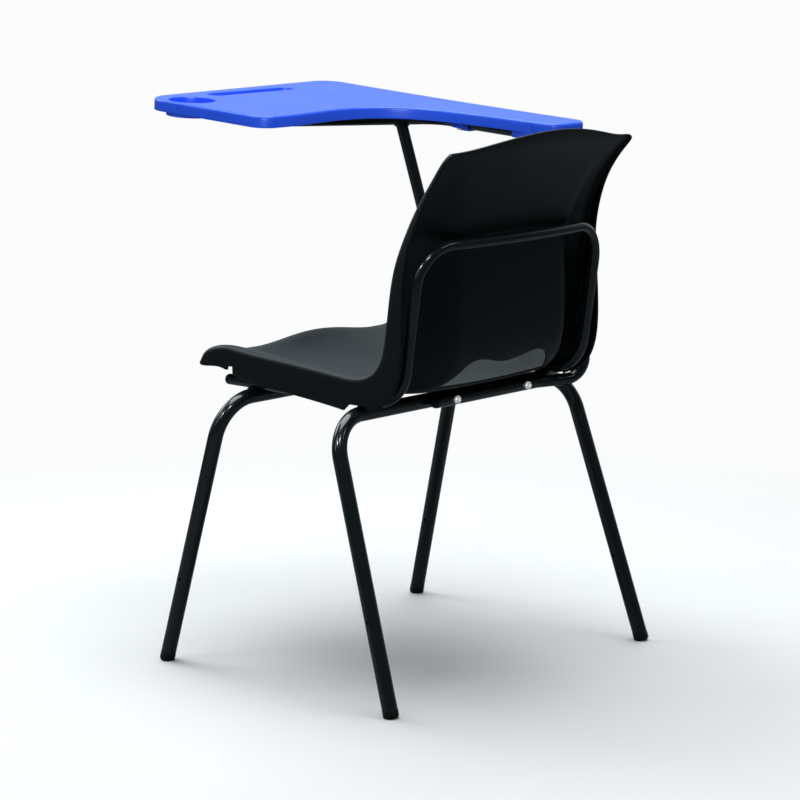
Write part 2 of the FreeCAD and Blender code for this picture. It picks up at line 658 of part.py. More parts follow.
def slot_wire(x0, x1, y, width):
    r = width / 2
    a, b = Vector(x0 + r, y - r, 0), Vector(x1 - r, y - r, 0)
    c, d = Vector(x1 - r, y + r, 0), Vector(x0 + r, y + r, 0)
    return Part.Wire([Part.makeLine(a, b), Part.Arc(b, Vector(x1, y, 0), c).toShape(),
                      Part.makeLine(c, d), Part.Arc(d, Vector(x0, y, 0), a).toShape()])


def round_wire(x, y, radius):
    return Part.Wire([Part.makeCircle(radius, Vector(x, y, 0))])


def rounded_slab():
    """Full tablet body with its top edge rounded."""
    slab = prism(tablet_outline(0), -TABLET_RIM, 0)
    return slab.makeFillet(TABLET_EDGE, [e for e in slab.Edges if e.BoundBox.ZMin > -0.01])


def writing_tablet():
    body = rounded_slab()
    body = body.cut(prism(tablet_outline(TABLET_WALL), -TABLET_RIM - 1, -TABLET_DECK))
    inside = prism(tablet_outline(TABLET_WALL / 2), -TABLET_RIM, -TABLET_DECK / 2)
    wall = POCKET_WALL
    cup = prism(round_wire(*CUP_CENTRE, CUP_D / 2 + wall), -CUP_DEPTH - wall, -1)
    slot = slot_wire(GROOVE_LEFT - wall, GROOVE_RIGHT + wall, GROOVE_Y, GROOVE_W + 2 * wall)
    groove = prism(slot, -GROOVE_DEPTH - wall, -1)
    ribs = tablet_ribs().common(inside)
    body = body.fuse([cup, groove, ribs] + [clamp_block(name) for name in SADDLES])
    body = body.cut(prism(round_wire(*CUP_CENTRE, CUP_D / 2), -CUP_DEPTH, 1))
    body = body.cut(prism(slot_wire(GROOVE_LEFT, GROOVE_RIGHT, GROOVE_Y, GROOVE_W), -GROOVE_DEPTH, 1))
    for name in CAPS:
        for x, y in clamp_screw_places(name):
            hole = Part.makeCylinder(CLAMP_SCREW_D / 2 + TOUCH / 2, 14, Vector(x, y, -HINGE_DROP - 1))
            body = body.cut(hole)
    body = body.cut(hinge_bar(ARM_OD + 2 * FIT))
    return body


def hinge_bar(diameter):
    return Part.makeCylinder(diameter / 2, 400, Vector(HINGE_X, -250, -HINGE_DROP), Vector(0, 1, 0))


def tablet_ribs():
    """Stiffening ribs under the deck, clear of the support tube."""
    ribs = []
    for x in RIB_X:
        ribs.append(Part.makeBox(RIB_T, 700, RIB_H, Vector(x - RIB_T / 2, -200, -TABLET_DECK - RIB_H)))
    for y in RIB_Y:
        ribs.append(Part.makeBox(600, RIB_T, RIB_H, Vector(-200, y - RIB_T / 2, -TABLET_DECK - RIB_H)))
    return group(ribs)


def clamp_block(name):
    """Saddle moulded under the deck, half round over the support tube."""
    rear, front = SADDLES[name]
    corner = Vector(HINGE_X - CLAMP_W / 2, rear, -HINGE_DROP)
    return Part.makeBox(CLAMP_W, front - rear, HINGE_DROP - TABLET_DECK / 2, corner)


def clamp_cap(name):
    rear, front = CAPS[name]
    low = -HINGE_DROP - ARM_OD / 2 - CAP_T
    cap = Part.makeBox(CLAMP_W, front - rear, CAP_FLANGE,
                       Vector(HINGE_X - CLAMP_W / 2, rear, -HINGE_DROP - CAP_FLANGE - TOUCH))
    belly = Part.makeBox(ARM_OD + 2 * CAP_T, front - rear, -HINGE_DROP - TOUCH - low,
                         Vector(HINGE_X - ARM_OD / 2 - CAP_T, rear, low))
    long_edges = [e for e in belly.Edges if abs(e.BoundBox.YLength - (front - rear)) < 0.01
                  and e.BoundBox.ZMax < low + 0.01]
    belly = belly.makeFillet(CAP_EDGE, long_edges)
    cap = cap.fuse(belly).cut(hinge_bar(ARM_OD + 2 * FIT))
    for x, y in clamp_screw_places(name):
        cap = cap.cut(Part.makeCylinder(CLAMP_SCREW_D / 2 + 0.2, 40, Vector(x, y, -HINGE_DROP - 20)))
    return cap.removeSplitter()


def clamp_screw_places(name):
    rear, front = CAPS[name]
    middle = (rear + front) / 2
    reach = CLAMP_W / 2 - CLAMP_SCREW_INSET
    return [(HINGE_X - reach, middle), (HINGE_X + reach, middle)]


def clamp_screw(x, y):
    base = Vector(x, y, -HINGE_DROP - CAP_FLANGE - 2 * TOUCH)
    return pan_screw(base, UP, CLAMP_SCREW_D, 16.0, 8.0, 2.8)


def in_chair(shape):
    moved = shape.copy()
    moved.Placement = tablet_place().multiply(moved.Placement)
    return moved


def rest_pad():
    """Rubber saddle on the support tube that the tablet lands on."""
    tip = support_points()[2]
    corner = support_points()[1]
    way = (tip - corner).normalize()
    length, width = PAD_SIZE
    normal = Vector(0, -TABLET_SLOPE, 1).normalize()
    side = normal.cross(way)
    corner = tip - way * (PAD_SETBACK + length / 2) - side * (width / 2)
    pad = Part.makeBox(length, width, PAD_TOP)
    pad.Placement = FreeCAD.Placement(corner, FreeCAD.Rotation(way, side, normal))
    return pad.cut(sweep_round(support_path(), ARM_OD + 2 * TOUCH))


# ----------------------------------------------------------------- the whole chair
def build():
    arm = arm_points()
    support = support_points()
    parts = {
        "seat_back_shell": seat_back_shell(),
        "front_leg_frame": leg_frame(False),
        "rear_leg_frame": leg_frame(True),
        "seat_back_hoop": tube(hoop_path(), HOOP_OD),
        "rail_welds": group([rail_weld(side, rear) for side in (-1, 1) for rear in (False, True)]),
        "shell_mounting_tabs": group([mounting_tab(x, y) for x, y in boss_places()]),
        "shell_screws": group([shell_screw(x, y) for x, y in boss_places()]),
        "tablet_arm": tablet_arm(),
        "arm_end_plug": end_plug(arm[0], arm[1], ARM_OD, ARM_OD - 0.6, PLUG_HEAD["arm"]),
        "arm_screws": group([arm_screw(x) for x in ARM_SCREW_X]),
        "arm_nuts": group([arm_nut(x) for x in ARM_SCREW_X]),
        "tablet_support_tube": tube(support_path(), ARM_OD),
        "strut_weld": strut_weld(),
        "support_rear_plug": end_plug(support[0], support[1], ARM_OD, HINGE_STOP_D, PLUG_HEAD["support"]),
        "support_front_plug": end_plug(support[2], support[1], ARM_OD, ARM_OD - 0.6, PLUG_HEAD["support"]),
        "tablet_rest_pad": rest_pad(),
        "writing_tablet": in_chair(writing_tablet()),
        "front_clamp_cap": in_chair(clamp_cap("front")),
        "rear_clamp_cap": in_chair(clamp_cap("rear")),
        "clamp_screws": in_chair(group([clamp_screw(x, y) for name in CAPS
                                        for x, y in clamp_screw_places(name)])),
    }
    for side, side_name in ((-1, "left"), (1, "right")):
        for rear, row_name in ((False, "front"), (True, "rear")):
            parts[f"{row_name}_{side_name}_foot"] = foot_plug(rear, side)
        rail_end = Vector(side * RAIL_X, RAIL_FRONT, RAIL_Z)
        behind = rail_end - Vector(0, 1, 0)
        parts[f"{side_name}_rail_plug"] = end_plug(rail_end, behind, HOOP_OD, HOOP_OD, PLUG_HEAD["rail"])
    return parts


def main():
    os.makedirs("parts", exist_ok=True)
    for name, shape in build().items():
        moved = shape.copy()
        moved.translate(ORIGIN_SHIFT)
        moved.exportStep(f"parts/{name}.step")


main()
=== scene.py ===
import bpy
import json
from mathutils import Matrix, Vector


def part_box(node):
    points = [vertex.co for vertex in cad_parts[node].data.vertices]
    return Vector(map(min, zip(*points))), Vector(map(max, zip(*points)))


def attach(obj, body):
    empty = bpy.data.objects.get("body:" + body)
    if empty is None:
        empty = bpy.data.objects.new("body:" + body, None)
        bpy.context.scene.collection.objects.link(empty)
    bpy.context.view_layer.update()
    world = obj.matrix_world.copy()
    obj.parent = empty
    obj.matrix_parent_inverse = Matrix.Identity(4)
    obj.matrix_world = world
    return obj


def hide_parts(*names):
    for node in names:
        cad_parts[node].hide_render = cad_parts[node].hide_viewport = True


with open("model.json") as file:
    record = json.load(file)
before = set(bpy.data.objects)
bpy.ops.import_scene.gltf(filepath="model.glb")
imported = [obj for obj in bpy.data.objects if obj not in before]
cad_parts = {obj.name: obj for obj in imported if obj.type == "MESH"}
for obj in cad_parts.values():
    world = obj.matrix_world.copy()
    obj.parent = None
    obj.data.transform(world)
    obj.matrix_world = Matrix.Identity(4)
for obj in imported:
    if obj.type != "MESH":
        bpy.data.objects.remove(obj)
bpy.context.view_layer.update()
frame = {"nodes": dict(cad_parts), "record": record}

# Student desk chair: black moulded shell on a black tube frame, blue flip-up writing tablet.
# Lengths are in millimetres in the chair's own frame (x = 0 on the mirror plane, x to the sitter's
# right, y the way the sitter faces), and go through row() when a mesh is made.

import json
import math

import bmesh
import bpy
import numpy as np
from mathutils import Matrix, Vector
from mathutils.geometry import delaunay_2d_cdt

MM = 0.001
WELD = 2e-6                    # vertices nearer than this, in metres, are one
UP = Vector((0, 0, 1))
RIGHT = Vector((1, 0, 0))

# ---- dimensions of the frame
LEG_R = 11.0
HOOP_R = 8.0
ARM_R = 9.0
WALL = 1.5
SNUG = 0.05                    # gap of a plug in its tube
AROUND = 48                    # vertices round a tube
TUBE_CHAMFER = 0.6
BEND_FLATTENING = 0.035
TIGHT_BEND = 90.0              # bends wider than this flatten less
# of a leg: x and y of its foot point, and how far it leans inwards per unit of height in x and y
FRONT_LEG = (272.5, 231.5, 0.053, 0.280)
REAR_LEG = (276.0, 230.0, 0.058, 0.319)
CROSSBAR_Z = 397.5
LEG_BEND = 60.0
TUBE_END_Z = 9.0
FLOOR_Z = -3.5
FOOT_R = 11.3
FOOT_HEAD = 13.5
RACK_HOLE_Z = 125.0
RACK_HOLE_R = 2.6
HOLE_SPAN = (-6.0, -3.0, 0.0, 3.0, 6.0)       # rings round a cross hole
HOLE_COLUMNS = 4               # columns either side of it
RAIL_X = 191.0
RAIL_Z = CROSSBAR_Z + LEG_R + HOOP_R
RAIL_FRONT = 166.0
HOOP_HEEL_Y = -179.0
HOOP_TOP = (-216.0, 639.0)
HOOP_BOW = 27.0
HOOP_BENDS = (60.0, 58.0, 850.0, 58.0, 60.0)
ARM_END_X = -62.0
ARM_KINK_X = 158.0
ARM_SIDE_X = 237.0
ARM_HEEL_Y = -150.0
ARM_SIDE_Z = 464.0
ARM_KNEE_Y = 124.0
ARM_CLIMB = 6.0
ARM_BENDS = (60.0, 31.0, 31.0, 60.0)
ARM_SCREW_X = (-27.0, 128.0)
# of a screw: diameter and length of the shank, diameter and height of the head
ARM_SCREW = (6.0, 48.0, 12.5, 4.6)
SHELL_SCREW = (5.0, 11.0, 10.0, 3.2)
CAP_SCREW = (4.0, 16.0, 8.0, 2.8)
SCREW_AROUND = 96
UNDER_HEAD = 0.02              # gap under a screw's head
ARM_NUT = (10.0, 5.0, 2.9)     # width over flats, height, radius of the bore
NUT_AROUND = 72
PAD_W = 16.0
PAD_L = 30.0
PAD_START = 49.0

# ---- dimensions of the tablet
TABLET_Z = 784.0
TABLET_Y = 50.0
TABLET_SLOPE = 0.072
TABLET_RIM = 18.0
TABLET_DECK = 4.0
TABLET_WALL = 3.2
RIM_LEVELS = (-9.0, -14.0)     # heights of the rows on the rim's outer face
TABLET_EDGE = 4.0
RIM_LIP = 0.7
DECK_FILLET = 1.0
HINGE_X = 250.0
HINGE_DROP = 22.0
SUPPORT_REAR = -63.0
SUPPORT_CORNER = 155.0
SUPPORT_TIP = (22.0, 254.0)
SUPPORT_BEND = 45.0
STRUT_TOP_X = 192.0
TABLET_LEAN = 4.8
TABLET_SKEW = 2.317
TABLET_CORNERS = (((-54.0, 353.0), 46.0, 180.0, 90.0 + TABLET_SKEW),
                  ((284.0, 378.0), 36.0, 90.0 + TABLET_SKEW, -TABLET_LEAN),
                  ((286.0, -122.0), 28.0, TABLET_LEAN, -85.0),
                  ((250.0, -130.0), 18.0, -95.0, -190.0),
                  ((-72.0, 161.0), 28.0, -80.0, -180.0))
TABLET_WAIST = (310.0, 80.0)
TABLET_INNER = ((222.0, -55.0), (213.0, 10.0), (197.0, 66.0), (166.0, 112.0), (120.0, 137.0),
                (70.0, 143.0), (0.0, 136.0))
CUP_CENTRE = (-59.0, 331.0)
CUP_R = 36.0
CUP_DEPTH = 20.5
CUP_LIP = 0.6
CUP_FILLET = 3.0
GROOVE_X = (8.0, 186.0)
GROOVE_Y = 363.0
GROOVE_R = 14.0
GROOVE_DEPTH = 8.0
GROOVE_LIP = 1.6
GROOVE_DRAFT = 0.4
GROOVE_FILLET = 3.0
POCKET_WALL = 3.0
POCKET_EDGE = 1.2
RIB_X = (-20.0, 90.0, 160.0, 290.0)
RIB_Y = (240.0, 320.0)
RIB_T = 2.4
RIB_H = 7.0
SADDLES = {"front": (31.0, 75.0), "rear": (-108.0, -69.0)}
CAPS = {"front": (31.0, 53.0), "rear": (-108.0, -69.0)}
CLAMP_HALF = 23.0
CLAMP_BORE = ARM_R + 0.05
CAP_T = 2.0
CAP_FLANGE = 6.0
CAP_EDGE = 4.5
CAP_SCREW_REACH = 17.5

# ---- dimensions of the shell
SHELL_T = 4.5
# crest y, z | edge y, z | half width | pan, arc, wall | hump, crown, at stations from the front
# lip to the top edge: the top line of the side and the free edge of the side skirt in the side
# view, the depth of the walled pan and of the round hollow, the place of the pan's wall as a
# share of the half width, the rise between the thighs and the rise of the middle at both ends.
SHELL_STATIONS = (
    (212.0, 442.0, 210.5, 435.5, 213.0, 5.0, 1.0, 0.87, 5.0, 3.0),
    (205.5, 455.0, 204.0, 435.5, 213.5, 8.0, 1.5, 0.87, 8.0, 1.0),
    (190.0, 464.5, 189.0, 436.5, 214.0, 9.5, 2.0, 0.87, 11.0, 0.0),
    (166.0, 470.0, 166.0, 437.0, 214.0, 10.5, 2.5, 0.87, 11.5, 0.0),
    (140.0, 469.0, 140.0, 429.0, 214.0, 11.0, 3.0, 0.87, 8.5, 0.0),
    (100.0, 465.0, 100.0, 420.0, 214.0, 12.0, 4.0, 0.87, 5.5, 0.0),
    (30.0, 460.5, 30.0, 414.0, 214.0, 13.5, 6.0, 0.87, 1.5, 0.0),
    (-40.0, 455.0, -42.0, 407.5, 214.0, 17.0, 8.0, 0.86, 0.0, 0.0),
    (-86.0, 451.3, -92.0, 401.5, 214.0, 24.0, 9.0, 0.82, 0.0, 0.0),
    (-113.0, 452.5, -122.0, 400.0, 214.0, 26.0, 8.0, 0.77, 0.0, 0.0),
    (-137.0, 461.5, -153.0, 411.5, 214.0, 35.0, 7.0, 0.72, 0.0, 0.0),
    (-152.0, 477.5, -182.0, 435.0, 214.0, 44.0, 6.5, 0.69, 0.0, 0.0),
    (-160.0, 501.0, -197.0, 480.0, 213.5, 44.5, 6.0, 0.68, 0.0, 0.0),
    (-166.0, 546.0, -199.0, 542.0, 212.0, 41.0, 6.0, 0.68, 0.0, 0.0),
    (-173.0, 600.0, -198.5, 597.0, 208.5, 33.5, 6.0, 0.68, 0.0, 0.0),
    (-186.0, 644.0, -203.0, 637.0, 203.5, 19.5, 7.0, 0.70, 0.0, 0.0),
    (-206.0, 690.0, -219.0, 683.0, 197.0, 12.5, 10.5, 0.75, 0.0, 2.0),
    (-230.0, 727.0, -239.0, 720.5, 194.0, 6.0, 11.0, 0.80, 0.0, 9.0),
    (-250.0, 752.0, -258.0, 746.5, 195.5, 3.0, 9.0, 0.87, 0.0, 20.0),
    (-262.0, 764.5, -269.0, 759.0, 197.0, 2.0, 8.0, 0.87, 0.0, 28.0),
    (-270.5, 773.0, -277.0, 768.0, 194.5, 1.0, 7.0, 0.87, 0.0, 36.0),
)
PAN_WALL = 0.135
SHELL_ROWS = 60                # poles of the shell's surface along the shell
PANEL_POINTS = 18              # and from its middle to the crest line
SHELL_FLANK = 8.5
SHELL_ROUND = 7.5
HUMP_SHARE = 0.62              # of the half width, where the rise between the thighs ends
RIM_TURNS = (25, 50, 72, 90, 108, 130, 155)
RIM_BAND = 3.0                 # from the rim's round to the second ring round the opening
ROW_STEP = 3.7
SEAT_END = 38                  # the row parameter up to which the shell is the seat
STEP = 1e-3                    # of a parameter, for slopes
PARAMETER_MM = (12.9, 12.0)    # about one parameter along and across
OPENING_AT = (-192.5, 439.0)
OPENING_TILT = 37.5
# half width at the top and at the base, height above and below the middle, dip of the upper edge
# in its middle, bulge of the lower edge
OPENING_SHAPE = (79.0, 118.0, 27.0, 18.0, 6.0, 7.0)
ARM_RELIEF = 1.5               # room for the arm in the skirt beside it
# Notches in the skirts: y from and to, height of the cut at its front and further back.
NOTCHES = ((139.0, 153.0, 440.0, 440.0), (-133.0, -85.0, 403.0, 412.0))
NOTCH_SLOPE = 0.8
BOSS_X = 150.0
BOSS_Y = (-55.0, 70.0)
BOSS_R = 7.5
BOSS_GAP = 0.04                # between a tab and the boss on it
BOSS_FLARE = 5.0
GUSSET_T = 1.8
TAB_T = 3.0
TAB_R = 11.0

hoop_low, hoop_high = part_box("seat_back_hoop")
ORIGIN = Vector(((hoop_low.x + hoop_high.x) / 2 / MM, hoop_high.y / MM - RAIL_FRONT,
                 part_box("rear_left_foot")[0].z / MM - FLOOR_Z))
slots = {s["node"]: s["material_slot"] for s in frame["record"]["subparts"]}


def row(point):
    """Chair frame in millimetres to row frame in metres."""
    return (Vector(point) + ORIGIN) * MM
# ---- mesh building
class Build:
    """Vertices in chair-frame millimetres and faces of one piece."""

    def __init__(self):
        self.verts = []
        self.faces = []

    def add(self, points):
        """Adds points and returns their numbers, in the shape the points came in."""
        points = np.asarray(points, float)
        first = len(self.verts)
        self.verts.extend(points.reshape(-1, 3).tolist())
        return np.arange(first, len(self.verts)).reshape(points.shape[:-1])

    def grid(self, rows, closed=True, keep=None):
        """Quads between rows of vertex numbers; closed joins each row's end to its start."""
        rows = np.asarray(rows)
        width = rows.shape[1] if closed else rows.shape[1] - 1
        for i in range(rows.shape[0] - 1):
            for j in range(width):
                if keep is None or keep[i, j]:
                    k = (j + 1) % rows.shape[1]
                    self.faces.append((rows[i, j], rows[i, k], rows[i + 1, k], rows[i + 1, j]))

    def fan(self, loop, point):
        """Triangles from a closed loop of vertex numbers to one point."""
        tip = int(self.add([point])[0])
        self.faces += [(a, b, tip) for a, b in zip(loop, np.roll(loop, -1))]

    def patch(self, numbers, faces):
        """Faces given by places in a list of vertex numbers."""
        self.faces += [tuple(numbers[i] for i in face) for face in faces]

    def piece(self, name, body, slot, node, sharp=38, place=None):
        """Makes the mesh object: welded, outward normals, smooth but for its sharp edges."""
        mesh = bpy.data.meshes.new(name)
        bm = bmesh.new()
        points = (Vector(point) for point in self.verts)
        verts = [bm.verts.new(row(place @ point if place else point)) for point in points]
        for face in self.faces:
            corners = [verts[i] for i in face]
            if len(set(corners)) > 2:
                try:
                    bm.faces.new(corners)
                except ValueError:
                    continue
        bmesh.ops.remove_doubles(bm, verts=bm.verts, dist=WELD)
        bmesh.ops.delete(bm, geom=[v for v in bm.verts if not v.link_faces], context="VERTS")
        bmesh.ops.recalc_face_normals(bm, faces=bm.faces)
        bm.to_mesh(mesh)
        bm.free()
        for polygon in mesh.polygons:
            polygon.use_smooth = True
        mesh.set_sharp_from_angle(angle=math.radians(sharp))
        mesh.materials.append(MATERIALS[slot])
        obj = bpy.data.objects.new(name, mesh)
        bpy.context.scene.collection.objects.link(obj)
        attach(obj, body)
        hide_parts(node)


def unit(vectors):
    vectors = np.asarray(vectors, float)
    return vectors / np.maximum(np.linalg.norm(vectors, axis=-1, keepdims=True), 1e-12)


def smoothstep(t):
    t = max(0.0, min(1.0, t))
    return t * t * (3 - 2 * t)


def travel(points):
    """Distance along a polyline at each of its points."""
    return np.concatenate(([0], np.cumsum(np.linalg.norm(np.diff(points, axis=0), axis=1))))


def chord(points):
    """Direction at each point of an open line."""
    return unit(np.vstack([points[1] - points[0], points[2:] - points[:-2], points[-1] - points[-2]]))


def circle_ways(side, other, count):
    """Unit vectors to points round a circle."""
    angles = np.linspace(0, 2 * math.pi, count, endpoint=False)[:, None]
    return np.asarray(side) * np.cos(angles) + np.asarray(other) * np.sin(angles)


def fillet(radius, count=4):
    """Pairs radius * (1 - cos, 1 - sin) over a quarter turn."""
    angles = np.radians(np.linspace(0, 90, count))
    return list(zip(radius * (1 - np.cos(angles)), radius * (1 - np.sin(angles))))


def curve_through(knots, points):
    """Smooth curve through points at their knots; each end's slope follows its four last points."""
    knots = np.asarray(knots, float)
    points = np.asarray(points, float)
    count = len(knots)
    step = np.diff(knots)
    rise = np.diff(points, axis=0) / step[:, None]
    system = np.zeros((count, count))
    right = np.zeros_like(points)
    for i in range(1, count - 1):
        system[i, i - 1:i + 2] = (1 / step[i - 1], 2 / step[i - 1] + 2 / step[i], 1 / step[i])
        right[i] = 3 * (rise[i - 1] / step[i - 1] + rise[i] / step[i])
    for end, near in ((0, slice(0, 4)), (count - 1, slice(-4, None))):
        system[end, end] = 1
        cubic = np.polyfit(knots[near], points[near], 3)
        right[end] = 3 * cubic[0] * knots[end] ** 2 + 2 * cubic[1] * knots[end] + cubic[2]
    slopes = np.linalg.solve(system, right)

    def at(t):
        t = np.atleast_1d(np.asarray(t, float))
        i = np.clip(np.searchsorted(knots, t, side="right") - 1, 0, count - 2)
        h = step[i][:, None]
        s = ((t - knots[i]) / step[i])[:, None]
        gap = points[i + 1] - points[i]
        start, stop = slopes[i] * h, slopes[i + 1] * h
        square, cube = 3 * gap - 2 * start - stop, start + stop - 2 * gap
        value = points[i] + s * (start + s * (square + s * cube))
        return value, (start + s * (2 * square + 3 * s * cube)) / h
    return at


def chord_curve(points, step):
    """Points along the curve through the given ones, about this far apart."""
    knots = travel(np.asarray(points, float))
    count = max(2, int(round(knots[-1] / step)) + 1)
    return curve_through(knots, points)(np.linspace(0, knots[-1], count))[0]


def resample(loop, step):
    """Points spaced evenly round a closed polyline."""
    loop = np.vstack([loop, loop[:1]])
    along = travel(loop)
    places = np.linspace(0, along[-1], int(round(along[-1] / step)), endpoint=False)
    return np.stack([np.interp(places, along, loop[:, k]) for k in range(loop.shape[1])], axis=1)


def anticlockwise(loop):
    """The plane polygon, turned round if it runs clockwise."""
    loop = np.asarray(loop, float)
    after = np.roll(loop, -1, axis=0)
    return loop if np.sum(loop[:, 0] * after[:, 1] - after[:, 0] * loop[:, 1]) > 0 else loop[::-1]


def loop_normals(loop):
    """Outward unit normals of a closed anticlockwise plane polygon."""
    ahead = np.roll(loop, -1, axis=0) - np.roll(loop, 1, axis=0)
    return unit(np.stack([ahead[:, 1], -ahead[:, 0]], axis=1))


def inside(points, loop):
    """Which plane points lie inside a closed polygon."""
    x, y = points[:, None, 0], points[:, None, 1]
    ax, ay = loop[None, :, 0], loop[None, :, 1]
    bx, by = np.roll(ax, -1, axis=1), np.roll(ay, -1, axis=1)
    crosses = (ay > y) != (by > y)
    reach = np.where(crosses, (bx - ax) * (y - ay) / np.where(by == ay, 1e-9, by - ay) + ax, -1e9)
    return (np.sum(crosses & (x < reach), axis=1) % 2) == 1


def loop_distance(points, loop):
    """Distance of plane points from a closed polygon."""
    start = loop[None]
    way = (np.roll(loop, -1, axis=0) - loop)[None]
    share = np.sum((points[:, None] - start) * way, axis=2) / np.maximum(np.sum(way * way, axis=2), 1e-9)
    near = start + np.clip(share, 0, 1)[..., None] * way
    return np.min(np.linalg.norm(points[:, None] - near, axis=2), axis=1)


def sides(loop):
    """Pairs of neighbours round a closed loop."""
    return [(int(a), int(b)) for a, b in zip(loop, np.roll(loop, -1))]


def triangulate(points, loops):
    """Triangles over plane points inside the first closed loop of point numbers and outside the
    others, which all stay edges."""
    points = np.asarray(points, float)
    edges = [edge for loop in loops for edge in sides(loop)]
    result = delaunay_2d_cdt([Vector(p) for p in points], edges, [], 0, 1e-6)
    origin = [numbers[0] if numbers else -1 for numbers in result[3]]
    faces = [tuple(origin[i] for i in face) for face in result[2]]
    walls = {frozenset(edge) for edge in edges}
    beside = {}
    for k, face in enumerate(faces):
        for edge in sides(face):
            beside.setdefault(frozenset(edge), []).append(k)
    seen = set()
    kept = []
    for first in range(len(faces)):
        if first in seen:
            continue
        seen.add(first)
        group = [first]
        for k in group:
            for edge in sides(faces[k]):
                if frozenset(edge) not in walls:
                    others = [other for other in beside[frozenset(edge)] if other not in seen]
                    seen.update(others)
                    group += others
        a, b, c = points[np.array([faces[k] for k in group])].transpose(1, 0, 2)
        areas = np.abs((b - a)[:, 0] * (c - a)[:, 1] - (b - a)[:, 1] * (c - a)[:, 0])
        middle = ((a + b + c) / 3)[np.argmax(areas)][None]
        held = [inside(middle, points[np.asarray(loop, int)])[0] for loop in loops]
        if held[0] and not any(held[1:]):
            kept += [faces[k] for k in group]
    return kept


# ---- tubes and turned pieces
def bend_line(points, radii, step=4.0, marks=()):
    """Centre line through the points with rounded corners, as (point, inward) pairs, where
    inward points to the centre of the bend; marks are extra distances from the first and from
    the last point."""
    points = [Vector(p) for p in points]
    first_way = (points[1] - points[0]).normalized()
    last_way = (points[-2] - points[-1]).normalized()
    line = [(points[0], None)] + [(points[0] + first_way * mark, None) for mark in marks]
    for before, corner, after, radius in zip(points, points[1:], points[2:], radii):
        back = (before - corner).normalized()
        ahead = (after - corner).normalized()
        half = back.angle(ahead) / 2
        centre = corner + (back + ahead).normalized() * (radius / math.sin(half))
        start = corner + back * (radius / math.tan(half)) - centre
        axis = back.cross(ahead).normalized()
        turn = math.pi - 2 * half
        count = max(4, math.ceil(math.degrees(turn) / step))
        for k in range(count + 1):
            arm = Matrix.Rotation(-turn * k / count, 3, axis) @ start
            share = math.sin(math.pi * k / count) * min(1.0, TIGHT_BEND / radius)
            line.append((centre + arm, -arm.normalized() * share))
    line += [(points[-1] + last_way * mark, None) for mark in reversed(marks)]
    return line + [(points[-1], None)]


def line_frames(tangents, start_normal):
    """Two cross directions at each point of a line, turning as little as possible along it."""
    normal = np.asarray(start_normal, float)
    first = []
    for tangent in tangents:
        normal = unit(normal - tangent * np.dot(normal, tangent))
        first.append(normal)
    return np.array(first), np.cross(tangents, first)


def tube(build, line, radius, start_normal, holes=(), mouth=None):
    """Hollow tube along a line.  holes are (ring, column) of the middles of cross holes, mouth
    cuts the far end to the shape of another tube: (point, direction, radius)."""
    points = np.array([p for p, _ in line])
    tangents = chord(points)
    first, second = line_frames(tangents, start_normal)
    ways = np.array([circle_ways(a, b, AROUND) for a, b in zip(first, second)])
    flat = np.ones(ways.shape[:2])
    for i, (_, inward) in enumerate(line):
        if inward is not None:
            flat[i] = 1 - BEND_FLATTENING * np.abs(ways[i] @ np.array(inward))
    solid = np.ones((len(line) - 1, AROUND), bool)
    for ring, column in holes:
        for j in range(-HOLE_COLUMNS, HOLE_COLUMNS):
            solid[ring - 2:ring + 2, (column + j) % AROUND] = False
    skins, rims = [], []
    for size, lift in ((radius, 1), (radius - WALL, 0)):
        rings = list(points[:, None] + ways * flat[..., None] * size)
        keep = list(solid)
        if mouth:
            rings[-1] = mouth_ring(rings[-1], tangents[-1], mouth)
        elif lift:
            rings.insert(-1, rings[-1] - tangents[-1] * TUBE_CHAMFER)
            rings[-1] = rings[-1] - ways[-1] * TUBE_CHAMFER
            keep.append(solid[0])
        if lift:
            rings.insert(1, rings[0] + tangents[0] * TUBE_CHAMFER)
            rings[0] = rings[0] - ways[0] * TUBE_CHAMFER
            keep.insert(0, solid[0])
        numbers = build.add(rings)
        build.grid(numbers, keep=np.array(keep))
        skins.append(numbers)
        rims.append([hole_loop(build, numbers[ring + lift - 2:ring + lift + 3], column,
                               (points[ring], tangents[ring], first[ring], second[ring]), size)
                     for ring, column in holes])
    for outer, inner in [*zip(*rims), (skins[0][0], skins[1][0]), (skins[0][-1], skins[1][-1])]:
        build.grid([outer, inner])


def hole_loop(build, window, column, axes, radius):
    """Quads from the window of rings round a hole to the hole's edge, whose loop is returned."""
    centre, tangent, first, second = axes
    columns = list(range(column - HOLE_COLUMNS, column + HOLE_COLUMNS + 1))
    border = [(0, c) for c in columns] + [(i, columns[-1]) for i in range(1, 4)]
    border += [(4, c) for c in reversed(columns)] + [(i, columns[0]) for i in range(3, 0, -1)]
    rows = [[window[i, c % AROUND] for i, c in border]]
    pitch = 2 * math.pi / AROUND
    for size in (RACK_HOLE_R + 0.9, RACK_HOLE_R):
        points = []
        for i, c in border:
            turn = math.atan2(HOLE_SPAN[i], (c - column) * radius * pitch)
            angle = column * pitch + math.asin(size * math.cos(turn) / radius)
            out = first * math.cos(angle) + second * math.sin(angle)
            points.append(centre + tangent * size * math.sin(turn) + out * radius)
        rows.append(build.add(points))
    build.grid(rows)
    return rows[-1]


def mouth_ring(ring, tangent, mouth):
    """Moves the end ring of a tube along the tube onto another tube's surface."""
    place, way, size = (np.asarray(v, float) for v in mouth)
    tangent = np.asarray(tangent, float)
    gap = ring - place
    gap = gap - np.outer(gap @ way, way)
    slide = tangent - way * np.dot(tangent, way)
    a, b, c = slide @ slide, 2 * gap @ slide, np.sum(gap * gap, axis=1) - size ** 2
    root = np.sqrt(np.maximum(b * b - 4 * a * c, 0))
    return ring + tangent * ((-b - root) / (2 * a))[:, None]


